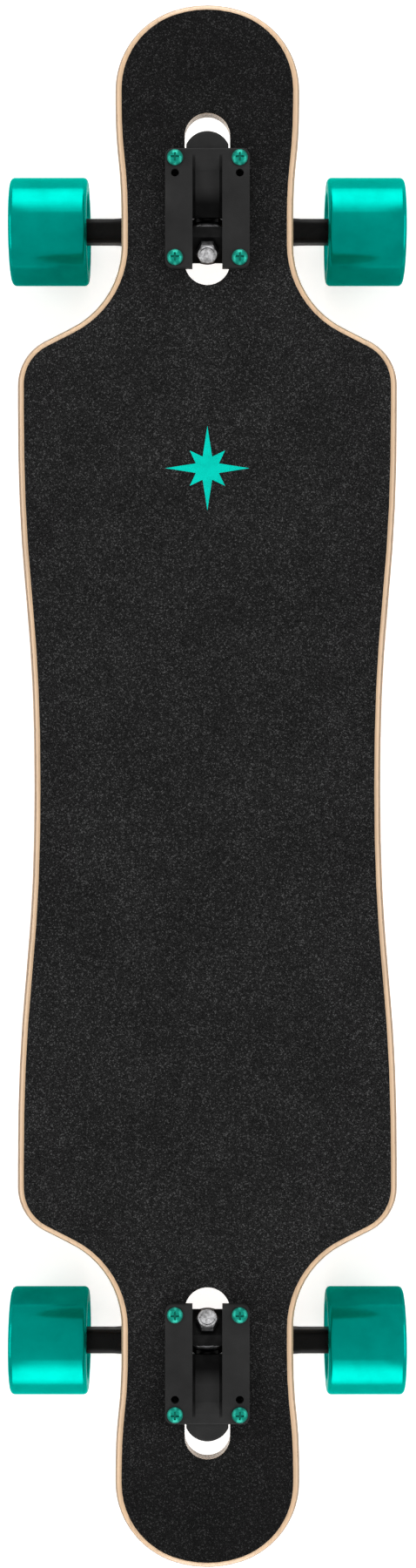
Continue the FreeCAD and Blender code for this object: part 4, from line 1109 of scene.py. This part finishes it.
@dataclass
class Studio:
    """The floor, the lights and the camera."""

    floor_size: float = 60.0
    floor_colour: Colour = grey(0.86)
    floor_shade: float = 0.99
    floor_cloud_scale: float = 3.0
    near_lift: float = 0.6
    far_lift: float = 0.80
    near_radius: float = 0.9
    far_radius: float = 3.2
    shadow_share: float = 0.17
    deck_patch: Patch = Patch((0.0, 0.0), (0.118, 0.29))
    neck_patch: Patch = Patch((0.0, 0.2), (0.062, 0.135))
    wheel_patch: Patch = Patch((0.1055, 0.372), (0.0245, 0.031))
    mirror_patch: Patch = Patch((0.0, 0.0), (0.35, 0.41), core=0.85)
    ambient: float = 0.22
    box_reach: float = 1.7
    box_width: float = 0.9
    box_watts: float = 14.2  # on each square metre of the brightest strip
    strips: tuple[Strip, ...] = (
        Strip(0.02, 0.25, 0.72), Strip(0.25, 1.0, 1.0), Strip(1.0, 1.3, 0.8), Strip(1.3, 1.65, 0.55),
        Strip(1.65, 2.3, 0.3))
    wide_reach: float = 2.0
    wide_height: float = 1.25
    wide_aim: float = 0.05
    wide_size: tuple[float, float] = (2.4, 1.0)
    wide_watts: float = 26.0
    camera_height: float = 1.56
    deck_height: float = 0.089
    seen_length: float = 1.005
    aim: tuple[float, float] = (0.0004, 0.0014)
    film: float = 36.0

    def seen(self, tree: bpy.types.NodeTree, rays: Sequence[Ray]) -> Socket:
        """1 for rays of these kinds, and 0 for the others, which light the board.

        Args:
            tree: The node tree to add to.
            rays: The kinds.

        Returns:
            The value.
        """
        path = tree.nodes.new("ShaderNodeLightPath")
        total = path.outputs[rays[0].value]
        for ray in rays[1:]:
            either = tree.nodes.new("ShaderNodeMath")
            either.operation = "MAXIMUM"
            tree.links.new(total, either.inputs[0])
            tree.links.new(path.outputs[ray.value], either.inputs[1])
            total = either.outputs["Value"]
        return total

    def lifted(self, graph: Graph, patches: Sequence[Patch], rays: Sequence[Ray]) -> Socket:
        """How much white is added to the floor for rays of these kinds.

        Args:
            graph: The floor's nodes.
            patches: Where the floor keeps its own shading.
            rays: The kinds.

        Returns:
            The strength.
        """
        place = graph.place()
        distance = graph.node("ShaderNodeVectorMath", {0: place}, operation="LENGTH").outputs["Value"]
        lift = graph.span(distance, self.near_lift, self.far_lift, self.near_radius, self.far_radius)
        across, along, _ = graph.axes(place)
        across, along = graph.math("ABSOLUTE", across), graph.math("ABSOLUTE", along)
        outward, *others = (patch.outward(graph, across, along) for patch in patches)
        for other in others:
            outward = graph.math("MINIMUM", outward, other)
        lift = graph.math("MULTIPLY", lift, graph.span(outward, self.shadow_share, 1.0))
        return graph.math("MULTIPLY", self.seen(graph.tree, rays), lift)

    def lay_floor(self) -> None:
        """Lays a pale floor that keeps the board's shadow."""
        graph = Graph("pale_floor")
        cloud = graph.noise(graph.place(), self.floor_cloud_scale, detail=2.0, rough=0.5)
        pale = tuple(zip(NOISE_SPREAD, (scaled(self.floor_colour, self.floor_shade), self.floor_colour)))
        straight = self.lifted(graph, (self.deck_patch, self.neck_patch, self.wheel_patch), (Ray.CAMERA,))
        mirrored = self.lifted(graph, (self.mirror_patch,), (Ray.GLOSSY, Ray.TRANSMISSION))
        graph.surface(
            Base_Color=graph.ramp(cloud, pale),
            Roughness=0.9,
            Specular_IOR_Level=0.0,
            Emission_Color=grey(1.0),
            Emission_Strength=graph.math("ADD", straight, mirrored),
        )
        bm = bmesh.new()
        bmesh.ops.create_grid(bm, x_segments=1, y_segments=1, size=self.floor_size / 2)
        mesh = bpy.data.meshes.new("floor")
        bm.to_mesh(mesh)
        bm.free()
        mesh.materials.append(graph.material)
        floor = bpy.data.objects.new("floor", mesh)
        bpy.context.scene.collection.objects.link(floor)

    def light_world(self) -> None:
        """Surrounds the board with white that lights it softly."""
        world = bpy.data.worlds.new("white_room")
        world.use_nodes = True
        tree = world.node_tree
        background = tree.nodes["Background"]
        background.inputs["Color"].default_value = (*grey(1.0), 1.0)
        strength = tree.nodes.new("ShaderNodeMapRange")
        strength.inputs["To Min"].default_value = self.ambient
        strength.inputs["To Max"].default_value = 1.0
        tree.links.new(self.seen(tree, tuple(Ray)), strength.inputs["Value"])
        tree.links.new(strength.outputs["Result"], background.inputs["Strength"])
        bpy.context.scene.world = world

    def lamp(self, name: str, place: Triple, target: Triple, size: tuple[float, float],
             power: float) -> bpy.types.Object:
        """Hangs a soft rectangular lamp.

        Args:
            name: The lamp's name.
            place: Where it hangs.
            target: What it faces.
            size: Its width and height.
            power: Its watts.

        Returns:
            The lamp.
        """
        light = bpy.data.lights.new(name, "AREA")
        light.shape = "RECTANGLE"
        light.size, light.size_y = size
        light.energy = power
        lamp = bpy.data.objects.new(name, light)
        lamp.location = place
        direction = Vector(target) - Vector(place)
        lamp.rotation_euler = direction.to_track_quat("-Z", "Y").to_euler()
        bpy.context.scene.collection.objects.link(lamp)
        return lamp

    def shade_far_wheels(self, lamp: bpy.types.Object, end: End) -> None:
        """Keeps a lamp beyond one end off the wheels of the other.

        Args:
            lamp: The lamp.
            end: The end that it stands beyond.
        """
        shaded = bpy.data.collections.new(f"{lamp.name}_shaded")
        for side in Side:
            far = Wheel(End(-end.value), side)
            shaded.objects.link(bpy.data.objects[far.node("tyre")])
        for entry in shaded.collection_objects:
            entry.light_linking.link_state = "EXCLUDE"
        lamp.light_linking.receiver_collection = shaded

    def hang_lamps(self) -> None:
        """Hangs a box of graded strips beyond either end, and a wide lamp on either side."""
        for end in End:
            for index, strip in enumerate(self.strips):
                middle, height = (strip.bottom + strip.top) / 2, strip.top - strip.bottom
                place, target = (0, end.value * self.box_reach, middle), (0, 0, middle)
                size = (self.box_width, height)
                power = strip.share * self.box_watts * self.box_width * height
                lamp = self.lamp(f"{end.label}_strip_{index}", place, target, size, power)
                self.shade_far_wheels(lamp, end)
        for side in Side:
            place = (side.value * self.wide_reach, 0, self.wide_height)
            self.lamp(f"{side.label}_wide", place, (0, 0, self.wide_aim), self.wide_size, self.wide_watts)

    def set_camera(self) -> None:
        """Sets the camera straight above the board, nose up."""
        data = bpy.data.cameras.new("camera")
        data.sensor_fit = "VERTICAL"
        data.sensor_height = self.film
        data.sensor_width = self.film
        data.lens = self.film * (self.camera_height - self.deck_height) / self.seen_length
        camera = bpy.data.objects.new("camera", data)
        camera.location = (*self.aim, self.camera_height)
        bpy.context.scene.collection.objects.link(camera)
        bpy.context.scene.camera = camera

    def build(self) -> None:
        """Sets up the whole studio."""
        bpy.context.scene.view_settings.view_transform = "Standard"
        self.lay_floor()
        self.light_world()
        self.hang_lamps()
        self.set_camera()


def main() -> None:
    """Builds and dresses the board, then the studio."""
    logging.basicConfig(level=logging.INFO, format="%(name)s: %(message)s")
    Deck().dress()
    for end in End:
        truck = Truck(end)
        truck.build()
        truck.dress()
        for side in Side:
            wheel = Wheel(end, side)
            wheel.build()
            wheel.dress()
    Studio().build()


if __name__ == "__main__":
    main()
